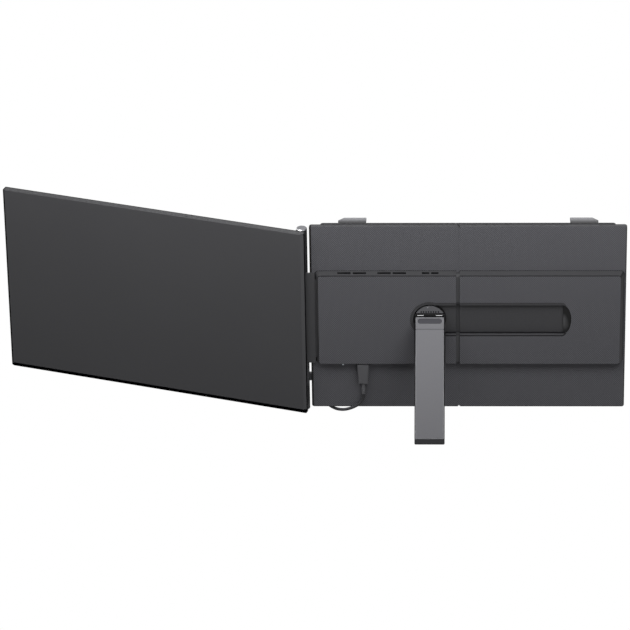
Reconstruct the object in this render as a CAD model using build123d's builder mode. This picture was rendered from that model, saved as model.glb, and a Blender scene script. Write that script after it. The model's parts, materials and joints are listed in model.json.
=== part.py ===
from build123d import *
from math import cos, pi, radians, sin
import os

os.makedirs("parts", exist_ok=True)

# A display that hangs beside a laptop's own screen. A bracket plate in two sliding halves lies against
# the back of the laptop's lid, and the display is hinged to its left edge. +X runs to the right as seen
# from behind, +Z up along the plate and +Y towards the laptop. The origin lies on the face of the left
# pad that rests against the lid.

# Bracket plate
plate_left = -80.0
plate_width = 320.0
plate_extra_height = 0.2
plate_thickness = 4.0
plate_corner = 2.5
plate_edge = 0.6
pocket_depth = 2.3
pocket_border = 5.0
pocket_inset = 10.0
left_width = 150.9
seam_gap = 0.1
seam_notch = 1.4
frame_depth = 2.7
frame_inset = 11.0
frame_stagger = 3.0
frame_edge = 1.6
frame_corner = 3.0
frame_lead_corner = 8.0
frame_rise = 1.1
pad_thickness = 1.0
pad_margin = 6.0
pad_corner = 4.0

# Housing behind the plate
housing_left_inset = 5.1
housing_right_inset = 1.9
housing_height = 105.8
housing_center_z = 1.0
housing_depth = 6.8
left_draft = 3.0
right_draft = 3.4
top_draft = 3.0
bottom_draft = 1.3
housing_corner = 3.5
cover_wall = 1.6
seam_groove = 3.7
cover_step = 0.8
vent_width = 13.5
short_vent_width = 7.4
vent_slit = 2.0
vent_depth = 3.0
vent_offsets = [22.9, 38.6, 63.5, 78.9]
short_vent_offsets = [108.5, 117.9]

# Recess that holds the folded leg
recess_side_gap = 1.0
recess_end_gap = 2.9
recess_depth = 4.2
recess_floor = 1.2
recess_wall = 1.2
border_width = 3.1
border_depth = 0.4
border_corner = 5.0
scoop_length = 8.0
scoop_depth = 2.4
channel_clearance = 0.6

# Leg and the hub that it turns on
hub_offset = 116.3
hub_radius = 16.7
hub_boss_radius = 15.5
hub_clearance = 0.3
hub_disc = 1.05
hub_seat_gap = 0.05
hub_cut = 7.1
hub_face_gap = 0.4
hub_post_radius = 6.0
hub_post_gap = 0.06
retainer_radius = 9.5
retainer_thickness = 0.9
leg_axis_rise = 4.6
leg_axis_depth = 5.25
knuckle_radius = 1.4
knuckle_inner = 6.25
knuckle_outer = 12.55
lug_end = 15.0
lug_gap = 0.15
leg_pin_radius = 0.8
leg_pin_gap = 0.05
leg_length = 137.0
leg_width = 30.4
leg_start = 1.9
leg_back = 1.35
leg_core = 2.0
leg_opening = 47.0
cover_sheet = 0.8
cover_width = 28.6
cover_start = 2.9
cover_edge = 0.6
inlay_width = 24.6
inlay_height = 5.4
inlay_distance = 7.1
line_distance = 15.8
line_width = 0.8
line_depth = 0.3
foot_length = 5.0
foot_corner = 1.2
tongue_width = 24.0
tongue_length = 3.0
tongue_thickness = 1.2
tab_length = 5.0
tab_thickness = 1.0

# Slide between the two halves
slide_travel = 50.0
rail_edge = 25.8
rail_width = 14.0
rail_thickness = 2.0
rail_grip = 60.9
rail_overlap = 34.1
rail_gap = 0.1
guide_wall = 2.0
guide_floor = 0.8
guide_length = 14.0
guide_offset = 2.0
sleeve_wall = 0.9
sleeve_gap = 0.15
sleeve_lift = 0.2
sleeve_tuck_left = 7.55
sleeve_tuck_right = 12.25

# Hooks over the top edge of the laptop's lid
left_hook_inset = 43.5
right_hook_inset = 43.0
hook_width = 28.4
hook_stem = 1.5
hook_shelf = 1.0
hook_lift = 0.15
hook_lip = 1.6
hook_drop = 2.4
hook_travel = 25.0
hook_grip = 19.0
hook_corner = 6.0
hook_round = 1.1
hook_gap = 0.15
lid_gap = 6.6
liner_thickness = 0.8

# Hinge of the display
hinge_gap = 2.0
hinge_depth = 4.3
barrel_radius = 5.5
barrel_bore = 2.55
pin_radius = 2.5
knuckle_top_inset = 2.2
lower_barrel_length = 26.6
arm_bottom_inset = 0.7
barrel_gap = 0.3
arm_plate = 2.2
arm_reach = 20.9
arm_rise = 3.4
neck_inset = 7.9
neck_depth = 4.0
arm_inset = 14.9
bolt_offset = 10.9
bolt_spacing = 30.0
bolt_radius = 1.25
bolt_head_radius = 2.4
bolt_head = 1.2
bolt_reach = 1.5
cap_thickness = 1.0
cap_edge = 0.6

# Display, turned about its hinge
panel_width = 327.8
panel_height = 208.8
panel_thickness = 6.2
panel_drop = 3.5
panel_overhang = 6.1
panel_offset = 7.2
panel_angle = 18.0
panel_corner = 2.0
bezel_thickness = 1.4
top_bevel = 1.0
left_bevel = 1.5
hinge_bevel = 3.0
hinge_bevel_depth = 2.0
bottom_bevel = 4.9
bottom_bevel_depth = 3.2
side_border = 13.1
top_border = 7.75
bottom_border = 12.55
pane_margin = 1.0
pane_gap = 0.1
module_margin = 4.0
module_thickness = 1.8
backlight_thickness = 0.9
panel_wall = 1.6
panel_back = 1.1
board_length = 150.0
board_height = 14.0
board_thickness = 0.9
block_half = 4.5

# Electronics in the left half of the housing
port_depth = 3.2
circuit_start = 24.9
circuit_length = 68.0
circuit_height = 61.3
circuit_gap = 1.0
circuit_tail_length = 18.0
circuit_tail_height = 8.0
circuit_thickness = 1.0
standoff_radius = 1.6
standoff_inset = 4.0
usb_offsets = [47.9, 66.9]
usb_width = 8.34
usb_height = 2.56
usb_wall = 0.3
usb_length = 7.2
hdmi_offset = 85.4
hdmi_width = 10.4
hdmi_height = 2.5
hdmi_length = 7.0
led_offset = 27.5
led_radius = 0.9
led_proud = 2.2
button_offsets = {"power_button": 12.4, "menu_button": 19.9}
button_width = 4.6
button_height = 2.0
button_gap = 0.15
button_travel = 0.5
button_proud = 0.7
button_flange = 0.8
button_inner = 2.6

# Screws that hold the front frames to the plate halves
screw_radius = 1.2
screw_head_radius = 2.2
screw_head = 1.2
screw_length = 5.2
screw_edge = 8.8
screw_side = 22.0
left_screw_seam = 14.9
right_screw_seam = 29.1
screw_gap = 0.05
hinge_screw_radius = 0.9
hinge_screw_head_radius = 1.6
hinge_screw_head = 1.0
hinge_screw_u = -0.4
hinge_screw_reach = 3.4

# Jumper lead from the housing to the hinge
plug_width = 12.0
plug_end_width = 9.8
plug_thickness = 6.0
plug_length = 22.1
plug_gap = 0.4
shell_clearance = 0.1
shell_insert = 6.2
relief_top_radius = 2.1
relief_end_radius = 1.85
relief_length = 12.6
lead_radius = 1.6
end_width = 6.0
end_length = 13.0
end_thickness = 3.3
end_inset = 5.2
tongue_lift = 8.4
tongue_reach = 3.5
tongue_height = 8.6
end_drop = 3.1
tongue_gap = 0.1

# Depths in Y, from the pads' face towards the back
frame_front = -pad_thickness
plate_front = frame_front - frame_depth
plate_rear = plate_front - plate_thickness
housing_face = plate_rear - housing_depth
plate_height = panel_height + plate_extra_height
half_height = plate_height / 2
left_end = plate_left
right_end = plate_left + plate_width
seam_x = plate_left + left_width
housing_left = left_end + housing_left_inset
housing_right = right_end - housing_right_inset
housing_top = housing_center_z + housing_height / 2
housing_bottom = housing_center_z - housing_height / 2
recess_center_z = housing_center_z
hub_x = housing_left + hub_offset
recess_end = hub_x + leg_length - leg_axis_rise + recess_end_gap
recess_height = leg_width + 2 * recess_side_gap
recess_bottom = housing_face + recess_depth
cover_inner = housing_face + cover_wall
hinge_x = plate_left - hinge_gap - barrel_radius
panel_center_z = -panel_drop


def rear_plane(y):
    """Plane parallel to the bracket plate, looked at from behind; extrusions run towards the back."""
    return Plane.XZ.offset(-y)


# The display's own directions at rest: along it to the right, and out of its back
turn = radians(panel_angle)
panel_right = Vector(cos(turn), -sin(turn), 0)
panel_rear = Vector(-sin(turn), -cos(turn), 0)
hinge_point = Vector(hinge_x, -hinge_depth, 0)


def panel_plane(depth):
    """Plane parallel to the display, a depth behind its hinge axis; X runs from the axis along it."""
    center = hinge_point + panel_rear * depth + Vector(0, 0, panel_center_z)
    return Plane(origin=center, x_dir=panel_right, z_dir=panel_rear)


def hinge_section(z):
    """Horizontal plane at the hinge axis; X runs along the display and Y out of its front."""
    return Plane(origin=(hinge_x, -hinge_depth, z), x_dir=panel_right, z_dir=(0, 0, 1))


panel_mid = panel_overhang - panel_width / 2
active_width = panel_width - 2 * side_border
active_height = panel_height - top_border - bottom_border
active_lift = (bottom_border - top_border) / 2
panel_top_z = panel_center_z + panel_height / 2
panel_bottom_z = panel_center_z - panel_height / 2

# The leg's own directions at rest: down along it, and out of its outer face
opening = radians(leg_opening)
leg_down = Vector(0, -sin(opening), -cos(opening))
leg_out = Vector(0, -cos(opening), sin(opening))
leg_axis_y = plate_rear - leg_axis_depth
leg_axis_z = recess_center_z + leg_axis_rise
leg_axis = Vector(hub_x, leg_axis_y, leg_axis_z)


def leg_plane(offset):
    """Plane parallel to the leg, an offset outside its hinge axis; Y runs back up the leg."""
    return Plane(origin=leg_axis + leg_out * offset, x_dir=(1, 0, 0), z_dir=leg_out)


# Levels and edges that several pieces share
rail_rear = plate_front - pocket_depth
left_seam = seam_x - seam_gap / 2
right_seam = seam_x + seam_gap / 2
rail_z = half_height - rail_edge
rail_left = seam_x - rail_grip
rail_right = seam_x + slide_travel + rail_overlap
screw_z = half_height - screw_edge
left_screws = [left_end + screw_side, seam_x - left_screw_seam]
right_screws = [right_end - screw_side, seam_x + right_screw_seam]
hook_centers = [left_end + left_hook_inset, right_end - right_hook_inset]
bolt_x = housing_left + bolt_offset
pocket_half = rail_z - rail_width / 2 - pocket_border
recess_under = recess_bottom + recess_floor
cover_right_start = right_seam + cover_step
cover_left_end = cover_right_start - seam_groove
port_y = plate_rear - port_depth
wall_slope = bottom_draft / housing_depth
port_wall_z = housing_bottom + port_depth * wall_slope
usb_outer_width = usb_width + 2 * usb_wall
usb_outer_height = usb_height + 2 * usb_wall
circuit_rear = port_y + usb_outer_height / 2
circuit_front = circuit_rear + circuit_thickness
circuit_bottom = housing_bottom + cover_wall + circuit_gap
circuit_left = housing_left + circuit_start
circuit_right = circuit_left + circuit_length
circuit_tail_left = circuit_left - circuit_tail_length
circuit_top = circuit_bottom + circuit_height
usb_positions = [housing_left + offset for offset in usb_offsets]
hdmi_x = housing_left + hdmi_offset
led_x = housing_left + led_offset
button_positions = {name: housing_left + offset for name, offset in button_offsets.items()}
vent_starts = [housing_left + offset for offset in vent_offsets]
short_vent_starts = [housing_left + offset for offset in short_vent_offsets]
sleeve_left = cover_left_end - sleeve_tuck_left
sleeve_right = cover_right_start + slide_travel + sleeve_tuck_right

knuckle_top = housing_top - knuckle_top_inset
knuckle_bottom = panel_bottom_z + cap_thickness + lower_barrel_length + barrel_gap
arm_bottom = housing_bottom + arm_bottom_inset
neck_half = housing_height / 2 - neck_inset
arm_half = housing_height / 2 - arm_inset
arm_inner = housing_left + arm_reach
tongue_z = knuckle_bottom + tongue_lift
end_x = left_end + end_inset


def third_points(start, end):
    """A third and two thirds of the way from start to end."""
    return [start + (end - start) / 3, end - (end - start) / 3]


def spots(xs, z):
    """A row of places at each x, above and below the plate's middle."""
    return [(x, side * z) for x in xs for side in (-1, 1)]


# Plate halves. Each is open at the front with a rim, and the rails lie in its channels.
with BuildPart() as left_back_plate:
    with BuildSketch(rear_plane(plate_front)) as left_outline:
        with Locations(((left_seam + left_end) / 2, 0)):
            Rectangle(left_seam - left_end, plate_height)
        fillet(left_outline.vertices().group_by(Axis.X)[0], plate_corner)
        chamfer(left_outline.vertices().group_by(Axis.X)[-1], seam_notch)
    extrude(amount=plate_thickness)
    chamfer(left_back_plate.faces().sort_by(Axis.Y)[0].edges().sort_by(Axis.X)[:-1], plate_edge)
    with BuildSketch(rear_plane(plate_front)):
        with Locations(((left_seam + left_end) / 2, 0)):
            Rectangle(left_seam - left_end - 2 * pocket_inset, 2 * pocket_half)
        with Locations(*spots([(rail_left + seam_x) / 2], rail_z)):
            Rectangle(seam_x - rail_left + 2 * rail_gap, rail_width + 2 * rail_gap)
    extrude(amount=pocket_depth, mode=Mode.SUBTRACT)
    with BuildSketch(rear_plane(plate_front)):
        with Locations(*spots(left_screws, screw_z)):
            Circle(screw_radius + screw_gap)
    extrude(amount=screw_length - frame_depth + screw_gap, mode=Mode.SUBTRACT)
    with BuildSketch(rear_plane(plate_rear)):
        with Locations((bolt_x, -bolt_spacing), (bolt_x, 0), (bolt_x, bolt_spacing)):
            Circle(bolt_radius)
    extrude(amount=-bolt_reach, mode=Mode.SUBTRACT)
left_back_plate.part.label = "left_back_plate"

with BuildPart() as right_back_plate:
    with BuildSketch(rear_plane(plate_front)) as right_outline:
        with Locations(((right_seam + right_end) / 2, 0)):
            Rectangle(right_end - right_seam, plate_height)
        fillet(right_outline.vertices().group_by(Axis.X)[-1], plate_corner)
        chamfer(right_outline.vertices().group_by(Axis.X)[0], seam_notch)
    extrude(amount=plate_thickness)
    chamfer(right_back_plate.faces().sort_by(Axis.Y)[0].edges().sort_by(Axis.X)[1:], plate_edge)
    with BuildSketch(rear_plane(plate_front)):
        with Locations(((right_seam + right_end) / 2, 0)):
            Rectangle(right_end - right_seam - 2 * pocket_inset, 2 * pocket_half)
        with Locations(*spots([(rail_right + seam_x) / 2], rail_z)):
            Rectangle(rail_right - seam_x + 2 * rail_gap, rail_width + 2 * guide_wall + 2 * rail_gap)
    extrude(amount=pocket_depth + rail_gap, mode=Mode.SUBTRACT)
    with BuildSketch(rear_plane(rail_rear - rail_gap)):
        with Locations(*spots([right_seam + guide_offset + guide_length / 2], rail_z)):
            Rectangle(guide_length, rail_width + 2 * guide_wall + 2 * rail_gap)
    extrude(amount=guide_floor, mode=Mode.SUBTRACT)
    with BuildSketch(rear_plane(plate_front)):
        with Locations(*spots(right_screws, screw_z)):
            Circle(screw_radius + screw_gap)
    extrude(amount=screw_length - frame_depth + screw_gap, mode=Mode.SUBTRACT)
right_back_plate.part.label = "right_back_plate"

# Front frames, with a pocket for each hook's stem that is open at the top. They rise a little above the
# plates, with a notch for each hook. Their seam lies beside the plates' seam, so that no light shows
# through, and the lead passes the left one's cut-off lower corner.
frame_left = left_end + frame_inset
frame_right = right_end - frame_inset
left_frame_seam = left_seam - frame_stagger
right_frame_seam = right_seam - frame_stagger
stem_bottom = half_height - hook_travel - hook_grip
hook_pocket = hook_stem + 2 * hook_gap


def draw_hook_pocket(center):
    """Inside a sketch on a rear plane: the pocket of one hook's stem."""
    pocket_top = half_height + frame_rise + 1
    with Locations((center, (stem_bottom - hook_gap + pocket_top) / 2)):
        Rectangle(hook_width + 2 * hook_gap, pocket_top - stem_bottom + hook_gap)


def draw_hook_notch(center):
    """Inside a sketch on a rear plane: the notch through the frame's raised edge, under one hook's shelf."""
    with Locations((center, half_height + frame_rise / 2)):
        Rectangle(hook_width + 2 * hook_gap, frame_rise)


with BuildPart() as left_front_frame:
    with BuildSketch(rear_plane(frame_front)) as frame_outline:
        with Locations(((left_frame_seam + frame_left) / 2, frame_rise / 2)):
            Rectangle(left_frame_seam - frame_left, plate_height + frame_rise)
        left_corners = frame_outline.vertices().group_by(Axis.X)[0].sort_by(Axis.Y)
        chamfer(left_corners[0], frame_lead_corner)
        fillet(left_corners[-1], frame_corner)
    extrude(amount=frame_depth)
    chamfer(left_front_frame.faces().sort_by(Axis.Y)[-1].edges().sort_by(Axis.X)[0], frame_edge)
    with BuildSketch(rear_plane(plate_front + hook_pocket)):
        draw_hook_pocket(hook_centers[0])
    extrude(amount=hook_pocket, mode=Mode.SUBTRACT)
    with BuildSketch(rear_plane(frame_front)):
        draw_hook_notch(hook_centers[0])
    extrude(amount=frame_depth, mode=Mode.SUBTRACT)
    with BuildSketch(rear_plane(frame_front)):
        with Locations(*spots(left_screws, screw_z)):
            Circle(screw_radius + screw_gap)
    extrude(amount=frame_depth, mode=Mode.SUBTRACT)
    with BuildSketch(rear_plane(frame_front)):
        with Locations(*spots(left_screws, screw_z)):
            Circle(screw_head_radius + screw_gap)
    extrude(amount=screw_head, mode=Mode.SUBTRACT)
left_front_frame.part.label = "left_front_frame"

with BuildPart() as right_front_frame:
    with BuildSketch(rear_plane(frame_front)) as frame_outline:
        with Locations(((right_frame_seam + frame_right) / 2, frame_rise / 2)):
            Rectangle(frame_right - right_frame_seam, plate_height + frame_rise)
        fillet(frame_outline.vertices().group_by(Axis.X)[-1], frame_corner)
    extrude(amount=frame_depth)
    chamfer(right_front_frame.faces().sort_by(Axis.Y)[-1].edges().sort_by(Axis.X)[-1], frame_edge)
    with BuildSketch(rear_plane(plate_front + hook_pocket)):
        draw_hook_pocket(hook_centers[1])
    extrude(amount=hook_pocket, mode=Mode.SUBTRACT)
    with BuildSketch(rear_plane(frame_front)):
        draw_hook_notch(hook_centers[1])
    extrude(amount=frame_depth, mode=Mode.SUBTRACT)
    with BuildSketch(rear_plane(frame_front)):
        with Locations(*spots(right_screws, screw_z)):
            Circle(screw_radius + screw_gap)
    extrude(amount=frame_depth, mode=Mode.SUBTRACT)
    with BuildSketch(rear_plane(frame_front)):
        with Locations(*spots(right_screws, screw_z)):
            Circle(screw_head_radius + screw_gap)
    extrude(amount=screw_head, mode=Mode.SUBTRACT)
right_front_frame.part.label = "right_front_frame"

# Soft pads that rest against the lid
with BuildPart() as left_front_pad:
    with BuildSketch(rear_plane(0)):
        with Locations(((left_frame_seam + frame_left) / 2, 0)):
            RectangleRounded(
                left_frame_seam - frame_left - 2 * pad_margin, plate_height - 2 * pad_margin, pad_corner
            )
    extrude(amount=pad_thickness)
left_front_pad.part.label = "left_front_pad"

with BuildPart() as right_front_pad:
    with BuildSketch(rear_plane(0)):
        with Locations(((right_frame_seam + frame_right) / 2, 0)):
            RectangleRounded(
                frame_right - right_frame_seam - 2 * pad_margin, plate_height - 2 * pad_margin, pad_corner
            )
    extrude(amount=pad_thickness)
right_front_pad.part.label = "right_front_pad"


def frame_screws(xs):
    """The four countersunk-style screws of one half, as separate solids."""
    with BuildPart() as screws:
        with BuildSketch(rear_plane(frame_front)):
            with Locations(*spots(xs, screw_z)):
                Circle(screw_radius)
        extrude(amount=screw_length)
        with BuildSketch(rear_plane(frame_front)):
            with Locations(*spots(xs, screw_z)):
                Circle(screw_head_radius)
        extrude(amount=screw_head)
    return screws.part


left_frame_screws = frame_screws(left_screws)
left_frame_screws.label = "left_frame_screws"
right_frame_screws = frame_screws(right_screws)
right_frame_screws.label = "right_frame_screws"

# Slide rails, fixed in the left half, and the bushes that guide them in the right half
with BuildPart() as slide_rails:
    with BuildSketch(rear_plane(rail_rear + rail_thickness)):
        with Locations(*spots([(rail_left + rail_right) / 2], rail_z)):
            Rectangle(rail_right - rail_left, rail_width)
    extrude(amount=rail_thickness)
slide_rails.part.label = "slide_rails"

with BuildPart() as rail_bushes:
    with BuildSketch(rear_plane(plate_front)):
        with Locations(*spots([right_seam + guide_offset + guide_length / 2], rail_z)):
            Rectangle(guide_length, rail_width + 2 * guide_wall + rail_gap)
    extrude(amount=pocket_depth + rail_gap + guide_floor)
    with BuildSketch(rear_plane(plate_front)):
        with Locations(*spots([right_seam + guide_offset + guide_length / 2], rail_z)):
            Rectangle(guide_length, rail_width + rail_gap)
    extrude(amount=pocket_depth + rail_gap, mode=Mode.SUBTRACT)
rail_bushes.part.label = "rail_bushes"


# Housing covers: drafted shells with the leg's recess sunk into them
def housing_block(wall):
    """The housing's drafted block, drawn in by a wall on its sides and back."""
    with BuildPart() as block:
        with BuildSketch(rear_plane(plate_rear)):
            with Locations(((housing_left + housing_right) / 2, (housing_top + housing_bottom) / 2)):
                RectangleRounded(
                    housing_right - housing_left - 2 * wall,
                    housing_top - housing_bottom - 2 * wall,
                    housing_corner - wall / 2,
                )
        with BuildSketch(rear_plane(housing_face + wall)):
            face_left = housing_left + left_draft
            face_right = housing_right - right_draft
            face_top = housing_top - top_draft
            face_bottom = housing_bottom + bottom_draft
            with Locations(((face_left + face_right) / 2, (face_top + face_bottom) / 2)):
                RectangleRounded(
                    face_right - face_left - 2 * wall,
                    face_top - face_bottom - 2 * wall,
                    housing_corner - wall / 2,
                )
        loft(ruled=True)
    return block.part


def draw_recess(margin):
    """Inside a sketch on a rear plane: the leg's recess with the hub's round seat, grown by a margin."""
    with Locations((hub_x, recess_center_z)):
        Circle(hub_radius + hub_clearance + margin)
    with Locations(((hub_x + recess_end + margin) / 2, recess_center_z)):
        Rectangle(recess_end + margin - hub_x, recess_height + 2 * margin)


def draw_channel(margin):
    """Inside a sketch on a rear plane: the channel that lets the leg fold flat while it points down."""
    reach = recess_center_z - housing_bottom + 2 * channel_clearance
    with Locations((hub_x, recess_center_z - reach / 2)):
        Rectangle(leg_width + 2 * (channel_clearance + margin), reach)


def scoop_outline(margin):
    """The finger scoop, half an ellipse beyond the recess's far end, grown by a margin."""
    middle = (recess_end, recess_center_z)
    half = recess_height / 2 + margin
    with BuildSketch() as scoop:
        with BuildLine():
            rim = EllipticalCenterArc(middle, scoop_length + margin, half, -90, arc_size=180)
            Line(rim @ 1, rim @ 0)
        make_face()
    return scoop.sketch


outer_block = housing_block(0)
inner_block = housing_block(cover_wall)

with BuildPart() as recess_boss:
    with BuildSketch(rear_plane(recess_under)):
        draw_recess(recess_wall)
        draw_channel(recess_wall)
        add(scoop_outline(recess_wall))
    extrude(amount=recess_under - housing_face)
    add(outer_block, mode=Mode.INTERSECT)

with BuildPart() as whole_cover:
    add(outer_block)
    add(inner_block, mode=Mode.SUBTRACT)
    add(recess_boss.part)
    with BuildSketch(rear_plane(housing_face + border_depth)) as border_outline:
        draw_recess(border_width)
        fillet(border_outline.vertices().group_by(Axis.X)[-1], border_corner)
    extrude(amount=border_depth, mode=Mode.SUBTRACT)
    with BuildSketch(rear_plane(housing_face + scoop_depth)):
        add(scoop_outline(0))
    extrude(amount=scoop_depth, mode=Mode.SUBTRACT)
    with BuildSketch(rear_plane(recess_bottom)):
        draw_recess(0)
        draw_channel(0)
    extrude(amount=recess_depth, mode=Mode.SUBTRACT)

# The top wall's vents, as boxes through it
vent_y = plate_rear - vent_depth
vent_z = housing_top - top_draft / 2

with BuildPart() as left_housing_cover:
    add(whole_cover.part)
    split(bisect_by=Plane.YZ.offset(cover_left_end), keep=Keep.BOTTOM)
    with Locations((hub_x, (recess_bottom + recess_under) / 2, recess_center_z)):
        Cylinder(hub_post_radius + hub_post_gap, recess_floor + 1, rotation=(90, 0, 0), mode=Mode.SUBTRACT)
    with Locations(*[(x + vent_width / 2, vent_y, vent_z) for x in vent_starts]):
        Box(vent_width, vent_slit, 2 * housing_corner, mode=Mode.SUBTRACT)
    with Locations(*[(x + short_vent_width / 2, vent_y, vent_z) for x in short_vent_starts]):
        Box(short_vent_width, vent_slit, 2 * housing_corner, mode=Mode.SUBTRACT)
    with Locations(*[(x, port_y, housing_bottom) for x in usb_positions]):
        Box(
            usb_outer_width + 2 * screw_gap,
            usb_outer_height + 2 * screw_gap,
            4 * cover_wall,
            mode=Mode.SUBTRACT,
        )
    with Locations((hdmi_x, port_y, housing_bottom)):
        Box(
            hdmi_width + 2 * usb_wall + 2 * screw_gap,
            hdmi_height + 2 * usb_wall + 2 * screw_gap,
            4 * cover_wall,
            mode=Mode.SUBTRACT,
        )
    with Locations(*[(x, port_y, housing_bottom) for x in button_positions.values()]):
        Box(button_width + 2 * button_gap, button_height + 2 * button_gap, 4 * cover_wall, mode=Mode.SUBTRACT)
    with Locations((led_x, port_y, housing_bottom)):
        Cylinder(led_radius + screw_gap, 4 * cover_wall, mode=Mode.SUBTRACT)
    with Locations((housing_left, plate_rear - neck_depth / 2, 0)):
        Box(3 * left_draft, neck_depth, 2 * (neck_half + screw_gap), mode=Mode.SUBTRACT)
left_housing_cover.part.label = "left_housing_cover"

with BuildPart() as right_housing_cover:
    add(whole_cover.part)
    split(bisect_by=Plane.YZ.offset(cover_right_start), keep=Keep.TOP)
right_housing_cover.part.label = "right_housing_cover"

# Sleeve that bridges the covers: one folded sheet that follows their inside and the recess
slope_top = housing_top - cover_wall - sleeve_gap
slope_bottom = housing_bottom + cover_wall + sleeve_gap
sleeve_base = plate_rear - sleeve_lift
sleeve_back = cover_inner + sleeve_gap
recess_reach = recess_height / 2 + recess_wall + sleeve_gap


def sleeve_line(inset):
    """Half of the sleeve's section, from its bottom foot to its top foot, drawn in by an inset."""
    return [
        (sleeve_base, slope_bottom + inset),
        (sleeve_back + inset, slope_bottom + bottom_draft + inset),
        (sleeve_back + inset, recess_center_z - recess_reach - inset),
        (recess_under + sleeve_gap + inset, recess_center_z - recess_reach - inset),
        (recess_under + sleeve_gap + inset, recess_center_z + recess_reach + inset),
        (sleeve_back + inset, recess_center_z + recess_reach + inset),
        (sleeve_back + inset, slope_top - top_draft - inset),
        (sleeve_base, slope_top - inset),
    ]


with BuildPart() as slide_sleeve:
    with BuildSketch(Plane.YZ.offset(sleeve_left)):
        with BuildLine():
            Polyline(*sleeve_line(0), *reversed(sleeve_line(sleeve_wall)), close=True)
        make_face()
    extrude(amount=sleeve_right - sleeve_left)
slide_sleeve.part.label = "slide_sleeve"


# Hooks: a stem that slides in the front frame, a shelf over the lid's edge and a lip in front of it
stem_front = plate_front + hook_gap + hook_stem
shelf_base = half_height + hook_lift
shelf_top = shelf_base + hook_shelf
lip_rear = lid_gap + liner_thickness
lip_front = lip_rear + hook_lip


def hook(center, outer):
    """One hook with its outer front corner cut off; outer is -1 on the left and 1 on the right."""
    with BuildPart() as body:
        with BuildSketch(Plane.YZ.offset(center - hook_width / 2)):
            with BuildLine():
                Polyline(
                    (stem_front - hook_stem, stem_bottom),
                    (stem_front, stem_bottom),
                    (stem_front, shelf_base),
                    (lip_rear, shelf_base),
                    (lip_rear, shelf_base - hook_drop),
                    (lip_front, shelf_base - hook_drop),
                    (lip_front, shelf_top),
                    (stem_front - hook_stem, shelf_top),
                    close=True,
                )
            make_face()
        extrude(amount=hook_width)
        top_edges = body.edges().filter_by(Axis.X).group_by(Axis.Z)[-1].sort_by(Axis.Y)
        fillet(top_edges[0], hook_round)
        fillet(top_edges[-1], hook_shelf / 2)
        with BuildSketch(Plane.XY.offset(shelf_base - hook_drop - 1)):
            corner = center + outer * hook_width / 2
            with BuildLine():
                Polyline(
                    (corner, lip_front - hook_corner),
                    (corner + outer, lip_front - hook_corner),
                    (corner + outer, lip_front + 1),
                    (corner - outer * (hook_corner + 1), lip_front + 1),
                    close=True,
                )
            make_face()
        extrude(amount=hook_drop + hook_shelf + 2, mode=Mode.SUBTRACT)
    return body.part


def hook_liner(center):
    """The soft strip on the inside of one hook's lip."""
    length = hook_width - 2 * hook_corner
    with BuildPart() as strip:
        with Locations((center, lip_rear - liner_thickness / 2, shelf_base - hook_drop / 2)):
            Box(length, liner_thickness, hook_drop)
    return strip.part


left_hook = hook(hook_centers[0], -1)
left_hook.label = "left_hook"
right_hook = hook(hook_centers[1], 1)
right_hook.label = "right_hook"
left_hook_liner = hook_liner(hook_centers[0])
left_hook_liner.label = "left_hook_liner"
right_hook_liner = hook_liner(hook_centers[1])
right_hook_liner.label = "right_hook_liner"

# Hub of the leg: a disc with a half-moon boss, lugs for the leg's pin and a post through the recess
disc_rear = recess_bottom - hub_seat_gap
disc_face = disc_rear - hub_disc
boss_face = housing_face + hub_face_gap
lug_inner = knuckle_inner - lug_gap
lug_outer = knuckle_outer + lug_gap
retainer_rear = recess_under + hub_seat_gap
post_end = retainer_rear + retainer_thickness
post_shoulder = hub_post_radius * 2 / 3

with BuildPart() as stand_hub:
    with BuildSketch(rear_plane(disc_rear)):
        with Locations((hub_x, recess_center_z)):
            Circle(hub_radius)
    extrude(amount=hub_disc)
    with BuildSketch(rear_plane(disc_face)):
        with Locations((hub_x, recess_center_z)):
            Circle(hub_boss_radius)
        with Locations((hub_x, recess_center_z + hub_cut - hub_radius)):
            Rectangle(2 * hub_radius + 1, 2 * hub_radius, mode=Mode.SUBTRACT)
    extrude(amount=disc_face - boss_face)
    with BuildSketch(Plane.YZ.offset(hub_x - lug_end)):
        with Locations((leg_axis_y, leg_axis_z)):
            Circle(knuckle_radius)
        with Locations(((leg_axis_y + disc_face) / 2, leg_axis_z)):
            Rectangle(disc_face - leg_axis_y, 2 * knuckle_radius)
    extrude(amount=2 * lug_end)
    with BuildSketch(Plane.YZ.offset(hub_x - lug_outer)):
        with Locations(((leg_axis_y - knuckle_radius + disc_face) / 2 - 1, leg_axis_z)):
            Rectangle(disc_face - leg_axis_y + knuckle_radius + 2, 2 * knuckle_radius + 1)
    extrude(amount=lug_outer - lug_inner, mode=Mode.SUBTRACT)
    with BuildSketch(Plane.YZ.offset(hub_x + lug_inner)):
        with Locations(((leg_axis_y - knuckle_radius + disc_face) / 2 - 1, leg_axis_z)):
            Rectangle(disc_face - leg_axis_y + knuckle_radius + 2, 2 * knuckle_radius + 1)
    extrude(amount=lug_outer - lug_inner, mode=Mode.SUBTRACT)
    with BuildSketch(rear_plane(retainer_rear)):
        with Locations((hub_x, recess_center_z)):
            Circle(hub_post_radius)
    extrude(amount=retainer_rear - disc_rear)
    with BuildSketch(rear_plane(post_end)):
        with Locations((hub_x, recess_center_z)):
            Circle(post_shoulder)
    extrude(amount=retainer_thickness)
    with Locations((hub_x, leg_axis_y, leg_axis_z)):
        Cylinder(leg_pin_radius, 2 * lug_end + 1, rotation=(0, 90, 0), mode=Mode.SUBTRACT)
stand_hub.part.label = "stand_hub"

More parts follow.
